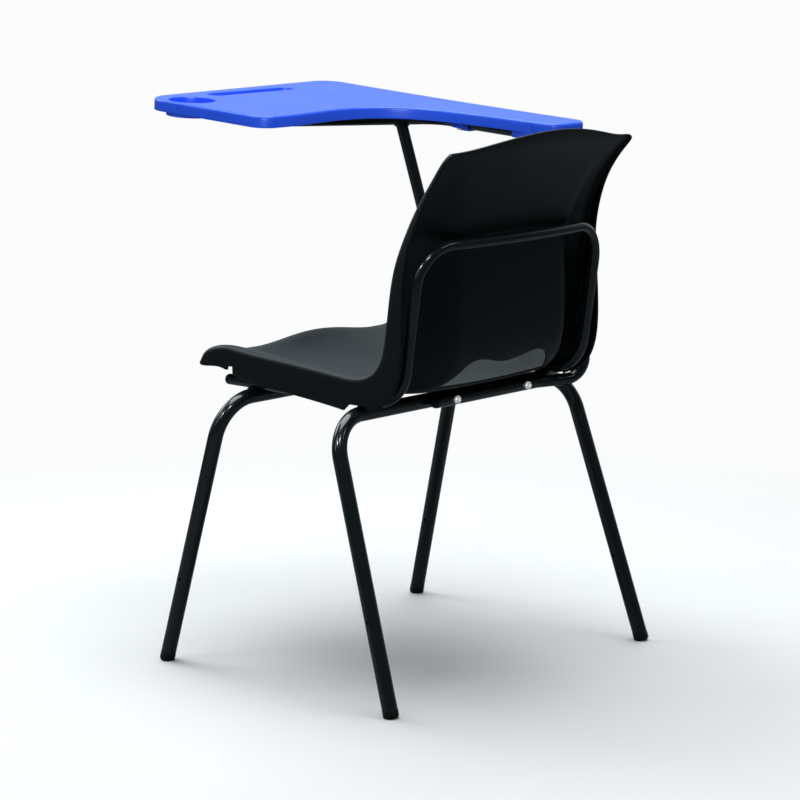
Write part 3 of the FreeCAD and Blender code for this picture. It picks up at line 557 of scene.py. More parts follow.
def lathe(build, profile, base, direction, around=64, floor=-np.inf):
    """Turned piece from (distance along the axis, radius) points, first and last on the axis."""
    axis = unit(direction)
    side = unit(np.cross(axis, UP if abs(axis[2]) < 0.9 else RIGHT))
    ways = circle_ways(side, np.cross(axis, side), around)

    def ring(along, radius):
        points = np.asarray(base, float) + axis * along + ways * radius
        points[:, 2] = np.maximum(points[:, 2], floor)
        return points

    rows = [build.add(ring(*point)) for point in profile[1:-1]]
    build.grid(rows)
    build.fan(rows[0], ring(*profile[0])[0])
    build.fan(rows[-1], ring(*profile[-1])[0])


def arc_profile(along, radius, size, start, stop, count=4):
    """Profile points of a rounded edge about (along, radius), angles from the axis direction."""
    angles = np.radians(np.linspace(start, stop, count + 1))
    return list(zip(along + size * np.cos(angles), radius + size * np.sin(angles)))


def extrusion(build, profile, place, length, round_off=0.6):
    """Prism of a closed (across, up) outline along a direction, its end edges rounded off.
    place is (corner, across, up, along)."""
    corner, across, up, along = (np.asarray(v, float) for v in place)
    profile = anticlockwise(profile)
    normals = loop_normals(profile)
    stops = fillet(round_off)
    rows = []
    for at, inset in stops + [(length - at, inset) for at, inset in reversed(stops)]:
        plane = profile - normals * inset
        rows.append(build.add(corner + across * plane[:, :1] + up * plane[:, 1:] + along * at))
    build.grid(rows)
    faces = triangulate(profile - normals * round_off, [range(len(profile))])
    build.patch(rows[0], faces)
    build.patch(rows[-1], faces)


# ---- moulded shell
def shell_poles(inset):
    """Poles of the shell's surface this far inside the outer one: rows along, columns across."""
    table = np.array(SHELL_STATIONS)
    curve = curve_through(np.arange(len(table)), table)
    rows = []
    for place in np.arange(SHELL_ROWS) * (len(table) - 1) / (SHELL_ROWS - 1):
        value, slope = (v[0] for v in curve(place))
        crest_y, crest_z, edge_y, edge_z, wide, pan, arc, wall, hump, crown = value
        crest = np.array((0, crest_y, crest_z))
        along = unit((0, slope[0], slope[1]))
        skirt = np.array((0, edge_y - crest_y, edge_z - crest_z))
        depth = np.linalg.norm(skirt)
        skirt = skirt / depth
        normal = np.array((0, -along[2], along[1]))
        normal *= np.sign(normal @ skirt)
        half = wide - SHELL_FLANK
        points = []
        for share in np.arange(PANEL_POINTS) / (PANEL_POINTS - 1):
            flat = 1 - smoothstep((share - wall + PAN_WALL) / (2 * PAN_WALL))
            gap = math.cos(min(share / HUMP_SHARE, 1.0) * math.pi / 2) ** 2
            drop = pan * flat + arc * (1 - share ** 2) - hump * gap + inset
            middle = crest + normal * drop + along * (crown * (1 - share ** 2) ** 1.5)
            points.append((half * share, middle[1], middle[2]))
        radius = SHELL_ROUND - inset
        squeeze = min(1.0, depth / (2 * SHELL_ROUND))
        for turn in (30, 60, 90):
            angle = math.radians(turn)
            fall = inset + squeeze * radius * (1 - math.cos(angle))
            place = crest + unit(normal * (90 - turn) + skirt * turn) * fall
            points.append((half + radius * math.sin(angle), place[1], place[2]))
        for share in (1 / 3, 2 / 3, 1.0):
            place = crest + skirt * (fall + (depth - fall) * share)
            x = half + radius + (wide - inset - half - radius) * share
            points.append((x, place[1], place[2]))
        rows.append([(-x, y, z) for x, y, z in reversed(points[1:])] + points)
    return np.array(rows)


def basis(t, count):
    """First pole and the four cubic weights at t, for evenly spaced knots with clamped ends."""
    knots = np.concatenate(([0.0] * 3, np.arange(count - 2.0), [count - 3.0] * 3))
    t = np.clip(t, 0, count - 3)
    span = np.clip(np.floor(t).astype(int), 0, count - 4) + 3
    weights = [np.ones_like(t)]
    for j in range(1, 4):
        saved = np.zeros_like(t)
        new = []
        for r in range(j):
            ahead = knots[span + r + 1] - t
            behind = t - knots[span + 1 - j + r]
            part = weights[r] / (ahead + behind)
            new.append(saved + ahead * part)
            saved = behind * part
        weights = new + [saved]
    return span - 3, np.stack(weights, axis=-1)


def shell_at(poles, u, v):
    """Points of the surface at parameters u along and v across."""
    first_u, weight_u = basis(u, poles.shape[0])
    first_v, weight_v = basis(v, poles.shape[1])
    total = np.zeros(u.shape + (3,))
    for a in range(4):
        for b in range(4):
            total += (weight_u[..., a] * weight_v[..., b])[..., None] * poles[first_u + a, first_v + b]
    return total


def round_rim(build, loops, outer, inner, behind):
    """Rounded edge between two closed loops of vertices, whose points are outer and inner;
    behind are points on the skin's side."""
    middle, half = (outer + inner) / 2, (outer - inner) / 2
    out = unit(np.cross(np.roll(middle, -1, axis=0) - np.roll(middle, 1, axis=0), half))
    out[np.sum(out * (outer - behind), axis=1) < 0] *= -1
    reach = np.linalg.norm(half, axis=1, keepdims=True)
    rows = [build.add(middle + half * math.cos(angle) + out * reach * math.sin(angle))
            for angle in np.radians(RIM_TURNS)]
    build.grid([loops[0], *rows, loops[1]])


def opening_loop():
    """Outline of the hand opening as (across, up) points in its own plane, anticlockwise."""
    top, base, rise, drop, sag, belly = OPENING_SHAPE
    shoulder = (-top - 6, rise - 4)
    side = [shoulder, (-top - 16, rise - 0.35 * (rise + drop)),
            (-base + 10, -drop + 0.2 * (rise + drop)), (-base, -drop)]
    low = [(-base, -drop), (-base / 2, -drop - 0.75 * belly), (0, -drop - belly)]
    high = [shoulder, (-top + 2, rise), (0, rise - sag)]

    def flip(line):
        return [(-x, h) for x, h in reversed(line)]

    lines = [side, low + flip(low[:2]), flip(side), (high + flip(high[:2]))[::-1]]
    loop = resample(np.vstack([chord_curve(line, 0.5)[:-1] for line in lines]), 0.5)
    places = np.arange(-12, 13)
    spread = np.exp(-0.5 * (places / 4.5) ** 2)
    spread /= spread.sum()
    return resample(sum(w * np.roll(loop, k, axis=0) for w, k in zip(spread, places)), 2.4)


def shell_rows(poles):
    """Parameters of the grid's rows, evenly spaced, with pairs at the ends of each skirt notch."""
    fine = np.linspace(0, SHELL_ROWS - 3.0, 2000)
    along = travel(shell_at(poles, fine, np.full(2000, 9.0)))
    rows = list(np.interp(np.linspace(0, along[-1], int(along[-1] / ROW_STEP)), along, fine))
    edge_y = shell_at(poles, fine, np.zeros(2000))[:, 1]
    for y in [y for notch in NOTCHES for y in notch[:2]]:
        place = fine[np.argmin(np.abs(edge_y - y) + 1000 * (fine > SEAT_END))]
        rows = [r for r in rows if abs(r - place) > 0.09] + [place - 0.035, place + 0.035]
    return np.array(sorted(rows))


def skirt_starts(poles, rows, side, rim):
    """How far from the skirt's free edge each row starts, as a parameter, on one side."""
    fine = np.linspace(0, 2, 61)
    arm = arm_centre_line()
    starts = []
    for u in rows:
        line = shell_at(poles, np.full(61, u), fine if side < 0 else poles.shape[1] - 3 - fine)
        need = np.interp(rim, travel(line), fine)
        for low, high, start, top in NOTCHES:
            if low < line[0, 1] < high and u < SEAT_END:
                level = min(top, start + (high - line[0, 1]) * NOTCH_SLOPE)
                need = max(need, np.interp(level + rim, line[:, 2], fine))
        if side > 0:
            gaps = np.min(np.linalg.norm(line[:, None] - arm[None], axis=2), axis=1)
            need = max([need, *fine[gaps < ARM_R + ARM_RELIEF + rim]])
        starts.append(min(need, 1.7))
    return np.array(starts)


def shell_grid(outer, rim):
    """Parameters (u, v) of the skin's points, pulled in from the free edge by half a wall."""
    last_u, last_v = outer.shape[0] - 3.0, outer.shape[1] - 3.0
    half = np.concatenate((np.linspace(0, 2, 8, endpoint=False), np.linspace(2, 5.3, 10, endpoint=False),
                           np.linspace(5.3, last_v / 2, 54)))
    columns = np.concatenate((half, last_v - half[::-1][1:]))
    rows = shell_rows(outer)
    u = np.repeat(rows[:, None], len(columns), axis=1)
    v = np.repeat(columns[None], len(rows), axis=0)
    left, right = (skirt_starts(outer, rows, side, rim)[:, None] for side in (-1, 1))
    v = np.where(v < 2, left + (2 - left) * v / 2, v)
    from_right = last_v - v
    v = np.where(from_right < 2, last_v - (right + (2 - right) * from_right / 2), v)
    for end, sign, border in ((0.0, 1, v[0]), (last_u, -1, v[-1])):
        base = np.full_like(border, end)
        gap = shell_at(outer, base + sign * STEP, border) - shell_at(outer, base, border)
        lead = rim / (np.linalg.norm(gap, axis=1) / STEP)
        u = u + sign * lead[None] * (1 - np.clip(sign * (u - end), 0, 3) / 3)
    return u, v


def opening_plane(points):
    """Places (across, up) in the plane of the hand opening, and the distance from it."""
    tilt = math.radians(OPENING_TILT)
    gap = points - np.array((0, *OPENING_AT))
    flat = np.stack([gap[..., 0], gap @ np.array((0, -math.sin(tilt), math.cos(tilt)))], axis=-1)
    return flat, gap @ np.array((0, -math.cos(tilt), -math.sin(tilt)))


def on_surface(poles, u, v, target):
    """Moves parameters until their points lie at these places in the opening's plane."""
    def flat(u, v):
        return opening_plane(shell_at(poles, u, v))[0]

    for _ in range(12):
        here = flat(u, v)
        by_u, by_v, miss = (flat(u + STEP, v) - here) / STEP, (flat(u, v + STEP) - here) / STEP, target - here
        det = by_u[:, 0] * by_v[:, 1] - by_u[:, 1] * by_v[:, 0]
        u, v = (u + np.clip((miss[:, 0] * by_v[:, 1] - miss[:, 1] * by_v[:, 0]) / det, -0.5, 0.5),
                v + np.clip((by_u[:, 0] * miss[:, 1] - by_u[:, 1] * miss[:, 0]) / det, -0.5, 0.5))
    return u, v


def make_shell():
    build = Build()
    outer, inner = shell_poles(0.0), shell_poles(SHELL_T)
    rim = SHELL_T / 2
    u, v = shell_grid(outer, rim)
    skin, under = shell_at(outer, u, v), shell_at(inner, u, v)
    m, n = u.shape
    # two rings of points round the hand opening, and the window of the grid that they replace
    edge = opening_loop()
    flat, gap = opening_plane(skin)
    near = (np.abs(gap) < 60) & (np.abs(flat[..., 0]) < 140) & (np.abs(flat[..., 1]) < 55)
    candidates = flat[near]
    away = np.full(near.shape, 99.0)
    away[near] = loop_distance(candidates, edge) * np.where(inside(candidates, edge), -1, 1)
    rings = []
    for distance in (rim, rim + RIM_BAND):
        target = edge + loop_normals(edge) * distance
        nearest = np.argmin(np.linalg.norm(candidates[None] - target[:, None], axis=2), axis=1)
        rings.append(on_surface(outer, u[near][nearest], v[near][nearest], target))
    hit = np.argwhere(away < 9.0)
    i0, j0 = hit.min(axis=0) - 1
    i1, j1 = hit.max(axis=0) + 1
    keep = np.ones((m - 1, n - 1), bool)
    keep[i0:i1, j0:j1] = False
    window = [(i, j) for i in range(i0, i1 + 1) for j in range(j0, j1 + 1)
              if i in (i0, i1) or j in (j0, j1) or away[i, j] > rim + 5.0]
    border = perimeter(i0, i1, j0, j1)
    places = [(u[i, j], v[i, j]) for i, j in window] + [place for ring in rings for place in zip(*ring)]
    first, count = len(window), len(edge)
    faces = triangulate(np.array(places) * PARAMETER_MM,
                        [[window.index(place) for place in border], range(first, first + count)])
    skins = []
    for poles, points in ((outer, skin), (inner, under)):
        numbers = build.add(points)
        build.grid(numbers, closed=False, keep=keep)
        ring_points = [shell_at(poles, *ring) for ring in rings]
        ids = [numbers[place] for place in window] + list(build.add(np.vstack(ring_points)))
        build.patch(ids, faces)
        skins.append((numbers, ids[first:first + count], ring_points))
    (top, top_hole, top_rings), (low, low_hole, low_rings) = skins
    round_rim(build, (top_hole, low_hole), top_rings[0], low_rings[0], top_rings[1])
    at = tuple(np.array(perimeter(0, m - 1, 0, n - 1)).T)
    inward = (np.clip(at[0], 1, m - 2), np.clip(at[1], 1, n - 2))
    round_rim(build, (top[at], low[at]), skin[at], under[at], skin[inward])
    add_bosses(build, under)
    build.piece("moulded_shell", "chair", "shell_plastic", "seat_back_shell", sharp=60)


def perimeter(i0, i1, j0, j1):
    """Places round the border of a part of a grid."""
    return ([(i0, j) for j in range(j0, j1)] + [(i, j1) for i in range(i0, i1)]
            + [(i1, j) for j in range(j1, j0, -1)] + [(i, j0) for i in range(i1, i0, -1)])


def add_bosses(build, under):
    """Screw bosses under the seat, with a flared foot and four gussets each."""
    seat = under[under[..., 1] > -110]
    base = RAIL_Z + TAB_T / 2 + BOSS_GAP
    for x, y in boss_places():
        height = seat[np.argmin(np.hypot(seat[:, 0] - x, seat[:, 1] - y)), 2] - base
        profile = [(0, 0), (0, 2.6), (0.4, 2.6), (0.4, 3.2), (0, 3.2)]
        profile += arc_profile(0.8, BOSS_R - 0.8, 0.8, 180, 90)
        profile += [(height - drop, BOSS_R + inset) for inset, drop in fillet(BOSS_FLARE, 7)]
        profile += [(height + 2.0, BOSS_R + BOSS_FLARE), (height + 2.0, 0)]
        lathe(build, profile, (x, y, base), UP, 40)
        for turn in (45, 135, 225, 315):
            add_gusset(build, (x, y, base + height), math.radians(turn), height)


def add_gusset(build, top, turn, height):
    """Thin tapered web from a boss up to the shell."""
    way = Vector((math.cos(turn), math.sin(turn), 0))
    side = Vector((-way.y, way.x, 0)) * GUSSET_T / 2
    start, stop = BOSS_R - 1.5, BOSS_R + 11.0
    outline = [(start, 1.0), (stop, 1.0), (stop, -1.5), (start, 4.0 - height)]
    rows = [build.add([Vector(top) + way * a + UP * b + edge for a, b in outline]) for edge in (-side, side)]
    build.grid(rows)
    build.faces += [tuple(rows[0]), tuple(rows[1])]


# ---- tube frame
def leg_point(rear, side, z):
    """Point of a leg's centre line at this height."""
    x, y, splay, rake = REAR_LEG if rear else FRONT_LEG
    return Vector((side * (x - splay * z), (-1 if rear else 1) * (y - rake * z), z))


def bar_y(rear):
    return leg_point(rear, 1, CROSSBAR_Z).y


def support_points():
    def centre(x, y):
        drop = HINGE_DROP * math.sqrt(1 + TABLET_SLOPE ** 2)
        return Vector((x, y, TABLET_Z + TABLET_SLOPE * (y - TABLET_Y) - drop))

    return centre(HINGE_X, SUPPORT_REAR), centre(HINGE_X, SUPPORT_CORNER), centre(*SUPPORT_TIP)


def support_way():
    """Direction of the support tube's part that crosses under the wide side of the tablet."""
    _, corner, tip = support_points()
    return (tip - corner).normalized()


def arm_points():
    y = bar_y(True) - LEG_R - ARM_R
    _, corner, tip = support_points()
    strut_top = corner + (tip - corner) * ((HINGE_X - STRUT_TOP_X) / (HINGE_X - tip.x))
    return [Vector((ARM_END_X, y, CROSSBAR_Z)), Vector((ARM_KINK_X, y, CROSSBAR_Z)),
            Vector((ARM_SIDE_X, ARM_HEEL_Y, CROSSBAR_Z)), Vector((ARM_SIDE_X, ARM_HEEL_Y, ARM_SIDE_Z)),
            Vector((ARM_SIDE_X, ARM_KNEE_Y, ARM_SIDE_Z + ARM_CLIMB)), strut_top]


def arm_centre_line():
    """Points every few millimetres along the arm."""
    line = [p for p, _ in bend_line(arm_points(), ARM_BENDS, 5.0)]
    points = []
    for a, b in zip(line[:-1], line[1:]):
        count = max(1, int((b - a).length / 3))
        points += [a + (b - a) * k / count for k in range(count)]
    return np.array(points)


def make_leg_frame(rear):
    name = "rear" if rear else "front"
    ends, corners = ([leg_point(rear, side, z) for side in (-1, 1)] for z in (TUBE_END_Z, CROSSBAR_Z))
    leg = corners[0] - ends[0]
    hole = leg.length * (RACK_HOLE_Z - TUBE_END_Z) / (CROSSBAR_Z - TUBE_END_Z)
    line = bend_line([ends[0], *corners, ends[1]], [LEG_BEND] * 2, 3.5, [hole + d for d in HOLE_SPAN])
    build = Build()
    tube(build, line, LEG_R, leg.cross(RIGHT).normalized(),
         holes=[(ring, column) for ring in (3, len(line) - 4) for column in (AROUND // 4, 3 * AROUND // 4)])
    build.piece(name + "_legs", "chair", "frame_paint", name + "_leg_frame")
    bore = LEG_R - WALL - SNUG
    profile = [(-24, 0), (-24, bore - 1.45), (-21, bore), (0.02, bore)]
    profile += arc_profile(0.72, FOOT_R - 0.7, 0.7, 180, 90)
    profile += [(2.6, FOOT_R), (2.9, FOOT_R - 0.3), (3.4, FOOT_R - 0.3), (3.7, FOOT_R)]
    profile += arc_profile(FOOT_HEAD - 4, FOOT_R - 4, 4, 90, 0, 10)
    profile += [(FOOT_HEAD + 0.3, FOOT_R * 0.4), (FOOT_HEAD + 0.4, 0)]
    for side, end, side_name in zip((-1, 1), ends, ("left", "right")):
        foot = Build()
        lathe(foot, profile, end, leg_point(rear, side, 0) - end, 72, floor=FLOOR_Z)
        foot.piece(f"{name}_{side_name}_foot_plug", "chair", "plug_plastic", f"{name}_{side_name}_foot")


def make_hoop():
    top_y, top_z = HOOP_TOP
    left = [Vector((-RAIL_X, RAIL_FRONT, RAIL_Z)), Vector((-RAIL_X, HOOP_HEEL_Y, RAIL_Z)),
            Vector((-RAIL_X, top_y, top_z))]
    right = [Vector((-p.x, p.y, p.z)) for p in reversed(left)]
    points = left + [Vector((0, top_y - HOOP_BOW, top_z))] + right
    build = Build()
    tube(build, bend_line(points, HOOP_BENDS, 3.5), HOOP_R, UP)
    build.piece("seat_rails_and_hoop", "chair", "frame_paint", "seat_back_hoop")
    for side, name in ((-1, "left"), (1, "right")):
        end_cap(name + "_rail", (side * RAIL_X, RAIL_FRONT, RAIL_Z), (0, 1, 0), HOOP_R, HOOP_R, 8.0)


def end_cap(name, base, direction, tube_radius, head, length):
    """Push-in plug: ribbed stem in the tube, domed head outside it."""
    bore = tube_radius - WALL - SNUG
    profile = [(-18, 0), (-18, bore - 1.2), (-15.5, bore)]
    for at in (-13.0, -9.0, -5.0):
        profile += [(at, bore), (at + 0.6, bore - 0.8), (at + 1.8, bore - 0.8), (at + 2.4, bore)]
    profile += [(0.02, bore), (0.02, head - 0.5), *arc_profile(0.52, head - 0.5, 0.5, 180, 90)]
    profile += [(length * (0.35 + 0.65 * math.sin(turn)), head * (0.45 + 0.55 * math.cos(turn)))
                for turn in np.radians(np.arange(0, 91, 9))]
    build = Build()
    lathe(build, profile + [(length, 0)], base, direction, 56)
    build.piece(name + "_cap", "chair", "plug_plastic", name + "_plug")


def bead(build, path, radius, closed, taper=0.0):
    """Weld bead with the ripples of its pool along a path of close points."""
    path = np.asarray(path, float)
    tangents = unit(np.roll(path, -1, axis=0) - np.roll(path, 1, axis=0)) if closed else chord(path)
    along = travel(path)
    size = radius * (0.9 + 0.13 * (1 - (along / 1.7) % 1.0) ** 0.6 + 0.04 * np.sin(along * 0.9))
    if taper:
        size *= np.sqrt(np.clip(np.minimum(along, along[-1] - along) / taper, 0.05, 1.0))
    first, second = line_frames(tangents, np.cross(tangents[0], (0.31, 0.52, 0.79)))
    rows = [build.add(point + circle_ways(a, b, 14) * r) for point, a, b, r in zip(path, first, second, size)]
    if closed:
        rows.append(rows[0])
    else:
        build.fan(rows[0], path[0])
        build.fan(rows[-1], path[-1])
    build.grid(rows)


def make_welds():
    build = Build()
    across = np.linspace(-6.5, 6.5, 32)
    rise = np.sqrt((LEG_R + 0.5) ** 2 - across ** 2)
    for side in (-1, 1):
        for rear in (False, True):
            for lean in (-1, 1):
                x = side * RAIL_X + lean * (4.6 + 0.02 * across ** 2)
                path = np.stack([x, bar_y(rear) + across, CROSSBAR_Z + rise + 0.1], axis=1)
                bead(build, path, 1.7, False, taper=2.5)
    build.piece("rail_weld_beads", "chair", "frame_paint", "rail_welds")
    points = arm_points()
    top = points[-1]
    down = (points[-2] - top).normalized()
    side = down.cross(support_way()).normalized()
    collar = np.array(top) + circle_ways(side, side.cross(down), 150) * (ARM_R + 0.7)
    build = Build()
    bead(build, mouth_ring(collar, -down, (top, support_way(), ARM_R + 0.7)), 1.9, True)
    build.piece("strut_weld_bead", "chair", "frame_paint", "strut_weld")


def make_arm():
    build = Build()
    points = arm_points()
    tube(build, bend_line(points, ARM_BENDS), ARM_R, UP, mouth=(points[-1], support_way(), ARM_R + 0.02))
    build.piece("tablet_arm_tube", "chair", "frame_paint", "tablet_arm")
    end_cap("arm_end", points[0], (-1, 0, 0), ARM_R, ARM_R - 0.3, 6.0)
    build = Build()
    rear, corner, front = support_points()
    tube(build, bend_line((rear, corner, front), [SUPPORT_BEND]), ARM_R, UP)
    build.piece("tablet_support", "chair", "frame_paint", "tablet_support_tube")
    end_cap("support_rear", rear, rear - corner, ARM_R, ARM_R + 2.5, 5.0)
    end_cap("support_front", front, front - corner, ARM_R, ARM_R - 0.3, 5.0)


def make_rest_pad():
    """Rubber saddle on the support tube, ridged across its top."""
    way = support_way()
    up = Vector((0, -TABLET_SLOPE, 1)).normalized()
    top = HINGE_DROP - TABLET_DECK - 0.05
    bore = ARM_R + 0.02
    wide = PAD_W / 2
    end = [(wide, math.sqrt(bore ** 2 - wide ** 2)), (wide, top - 1.2), (wide - 0.4, top - 0.4),
           (wide - 1.1, top)]
    outline = list(end)
    for x in (4.6, 1.2, -2.2, -5.6):
        outline += [(x + 0.9, top), (x + 0.6, top - 0.9), (x - 0.6, top - 0.9), (x - 0.9, top)]
    outline += [(-x, z) for x, z in reversed(end)]
    saddle = np.radians(np.linspace(152.5, 27.5, 17))[1:-1]
    outline += list(zip(bore * np.cos(saddle), bore * np.sin(saddle)))
    build = Build()
    corner = support_points()[2] - way * PAD_START
    extrusion(build, outline, (corner, up.cross(way), up, way), PAD_L, 0.25)
    build.piece("tablet_rest_rubber", "chair", "pad_rubber", "tablet_rest_pad")


def boss_places():
    return [(side * BOSS_X, y) for side in (-1, 1) for y in BOSS_Y]


def make_tabs():
    """Rounded steel tabs from the rails to the bosses of the shell."""
    build = Build()
    long = RAIL_X - HOOP_R + 0.6 - BOSS_X + TAB_R
    turns = np.radians(np.arange(102, 259, 12))
    outline = [(0, -TAB_R), (long, -TAB_R), (long, TAB_R), (0, TAB_R)]
    outline += list(zip(TAB_R * np.cos(turns), TAB_R * np.sin(turns)))
    for x, y in boss_places():
        side = math.copysign(1, x)
        start = (side * (BOSS_X - TAB_R), y, RAIL_Z - TAB_T / 2)
        extrusion(build, outline, (start, (side, 0, 0), (0, 1, 0), UP), TAB_T, 0.5)
    build.piece("shell_tabs", "chair", "frame_paint", "shell_mounting_tabs")


# ---- screws and nuts
def screw(build, base, direction, shank, length, head, height, turn):
    """Pan-head screw with a cross recess: base is under the head, direction along the shank."""
    base, direction = Vector(base), Vector(direction)
    side = direction.cross(UP if abs(direction.z) < 0.9 else RIGHT).normalized()
    side = Matrix.Rotation(turn, 3, direction) @ side
    other = direction.cross(side)

    def top(x, y, share, rise=None):
        dome = 0.42 + 0.58 * math.sqrt(1 - share ** 2.4)
        rise = height * (dome if rise is None else rise)
        return base + side * x + other * y - direction * (rise - recess(x, y, head, height))

    plane = circle_ways((head / 2, 0), (0, head / 2), SCREW_AROUND)
    shares = [(k / 22, None) for k in range(1, 23)] + [(1.0, 0.21), (1.0, 0.0)]
    rows = [build.add([top(x, y, share, rise) for x, y in plane * share]) for share, rise in shares]
    build.fan(rows[0], top(0, 0, 0))
    r = shank / 2
    profile = [(0.0, r), (length * 0.4, r)]
    for at in np.arange(length * 0.4, length - 2.2, 1.0):
        profile += [(at + 0.25, r - 0.35), (at + 0.75, r - 0.02)]
    profile += [(length - 0.8, r - 0.1), (length, r - 0.8)]
    ways = circle_ways(side, other, SCREW_AROUND)
    rows += [build.add(np.array(base + direction * along) + ways * size) for along, size in profile]
    build.grid(rows)
    build.fan(rows[-1], base + direction * length)


def recess(x, y, head, height):
    """Depth of the cross recess at a place on a screw's head."""
    depth = 0.0
    for a, b in ((x, y), (y, x)):
        across = smoothstep((0.095 * head - abs(b)) / (0.035 * head) + 0.5)
        length = smoothstep((0.25 * head - abs(a)) / (0.06 * head) + 0.5)
        depth = max(depth, across * length)
    return depth * height * 0.5


def nut(build, base, direction, flats, height, bore):
    """Hexagon nut with both ends chamfered."""
    direction = np.asarray(direction, float)
    side = unit(np.cross(direction, UP))
    ways = circle_ways(side, np.cross(direction, side), NUT_AROUND)
    angles = np.linspace(0, 2 * math.pi, NUT_AROUND, endpoint=False)
    reach = flats / 2 / np.cos((angles + math.pi / 6) % (math.pi / 3) - math.pi / 6)
    cut = (reach - flats / 2) * 0.55 + 0.12
    sections = [(0, flats / 2 - 0.15), (cut, reach), (height - cut, reach), (height, flats / 2 - 0.15),
                (height, bore + 0.5), (height - 0.5, bore), (0.5, bore), (0, bore + 0.5)]
    rows = [build.add(np.asarray(base, float) + np.outer(np.broadcast_to(along, NUT_AROUND), direction)
                      + ways * np.reshape(size, (-1, 1))) for along, size in sections]
    build.grid(rows + [rows[0]])


def make_fasteners():
    arm, nuts, shell, caps = (Build() for _ in range(4))
    start = bar_y(True) - LEG_R - 2 * ARM_R - UNDER_HEAD
    stop = bar_y(True) + LEG_R + UNDER_HEAD
    for k, x in enumerate(ARM_SCREW_X):
        screw(arm, (x, start, CROSSBAR_Z), (0, 1, 0), *ARM_SCREW, 0.5 + 0.8 * k)
        nut(nuts, (x, stop, CROSSBAR_Z), (0, 1, 0), *ARM_NUT)
    for k, (x, y) in enumerate(boss_places()):
        screw(shell, (x, y, RAIL_Z - TAB_T / 2 - UNDER_HEAD), UP, *SHELL_SCREW, 0.3 + 0.7 * k)
    places = [((rear + front) / 2, reach) for rear, front in CAPS.values()
              for reach in (-CAP_SCREW_REACH, CAP_SCREW_REACH)]
    for k, (y, reach) in enumerate(places):
        screw(caps, (HINGE_X + reach, y, -HINGE_DROP - CAP_FLANGE - 0.04), UP, *CAP_SCREW, 0.2 + 0.9 * k)
    arm.piece("arm_bolts", "chair", "zinc_steel", "arm_screws", sharp=50)
    nuts.piece("arm_bolt_nuts", "chair", "zinc_steel", "arm_nuts", sharp=30)
    shell.piece("shell_fixing_screws", "chair", "zinc_steel", "shell_screws", sharp=50)
    caps.piece("clamp_cap_screws", "tablet", "zinc_steel", "clamp_screws", sharp=50, place=tablet_place())


# ---- writing tablet
def tablet_place():
    """From the tablet's own frame, top at z = 0 and y = 0 at TABLET_Y, to the chair frame."""
    return Matrix.Translation((0, TABLET_Y, TABLET_Z)) @ Matrix.Rotation(math.atan(TABLET_SLOPE), 4, "X")


def tablet_outline(step=4.0):
    """Plan outline of the tablet, anticlockwise, with points this far apart on its sides."""
    arcs = []
    for (cx, cy), radius, start, stop in TABLET_CORNERS:
        angles = np.radians(np.linspace(start, stop, max(6, int(abs(stop - start) / 4.5)) + 1))
        arcs.append(np.stack([cx + radius * np.cos(angles), cy + radius * np.sin(angles)], axis=1))

    def line(a, b):
        count = max(1, int(np.linalg.norm(b - a) / step))
        return a + (b - a) * (np.arange(1, count) / count)[:, None]

    front_left, front_right, rear_right, rear_left, heel = arcs
    waist = circle_through(front_right[-1], np.array(TABLET_WAIST), rear_right[0], step)
    inner = chord_curve([rear_left[-1], *TABLET_INNER, heel[0]], step)
    loop = [front_left, line(front_left[-1], front_right[0]), front_right, waist, rear_right,
            line(rear_right[-1], rear_left[0]), rear_left, inner[1:-1], heel, line(heel[-1], front_left[0])]
    return anticlockwise(np.vstack(loop))


def circle_through(a, b, c, step):
    """Inner points of the circular arc from a to c by b."""
    square = np.array([p @ p for p in (a, b, c)]) / 2
    centre = np.linalg.solve(np.array((b - a, c - a)), square[1:] - square[0])
    start, stop = (math.atan2(*(p - centre)[::-1]) for p in (a, c))
    turn = (stop - start + math.pi) % (2 * math.pi) - math.pi
    radius = np.linalg.norm(a - centre)
    count = max(2, int(abs(turn) * radius / step))
    angles = start + turn * np.arange(1, count) / count
    return centre + radius * np.stack([np.cos(angles), np.sin(angles)], axis=1)


def cup(radius):
    """Outline of the cup holder, anticlockwise."""
    return CUP_CENTRE + circle_ways((radius, 0), (0, radius), 72)


def slot(radius):
    """Outline of the pen groove at a half width, anticlockwise."""
    ways = circle_ways((0, -radius), (radius, 0), 32)
    ends = [(x, GROOVE_Y) + np.roll(ways, -first, axis=0)[:17]
            for x, first in ((GROOVE_X[1] - GROOVE_R, 0), (GROOVE_X[0] + GROOVE_R, 16))]
    return np.vstack(ends)


def level(build, outline, z):
    """Adds an outline at a height."""
    return build.add(np.column_stack([outline, np.full(len(outline), z)]))


def fill(build, loops, outlines, z, spacing=12.0):
    """Flat faces between an outer loop and the holes in it, over a grid of inner points."""
    low, high = outlines[0].min(axis=0), outlines[0].max(axis=0)
    xs, ys = np.arange(low[0], high[0], spacing), np.arange(low[1], high[1], spacing)
    inner = np.array([(x + (spacing / 2 if k % 2 else 0), y) for k, y in enumerate(ys) for x in xs])
    good = inside(inner, outlines[0])
    for outline in outlines[1:]:
        good &= ~inside(inner, outline)
    for outline in outlines:
        good &= loop_distance(inner, outline) > spacing * 0.45
    inner = inner[good]
    stops = np.cumsum([0] + [len(outline) for outline in outlines])
    chains = [range(first, last) for first, last in zip(stops, stops[1:])]
    build.patch([*np.concatenate(loops), *level(build, inner, z)],
                triangulate(np.vstack([*outlines, inner]), chains))


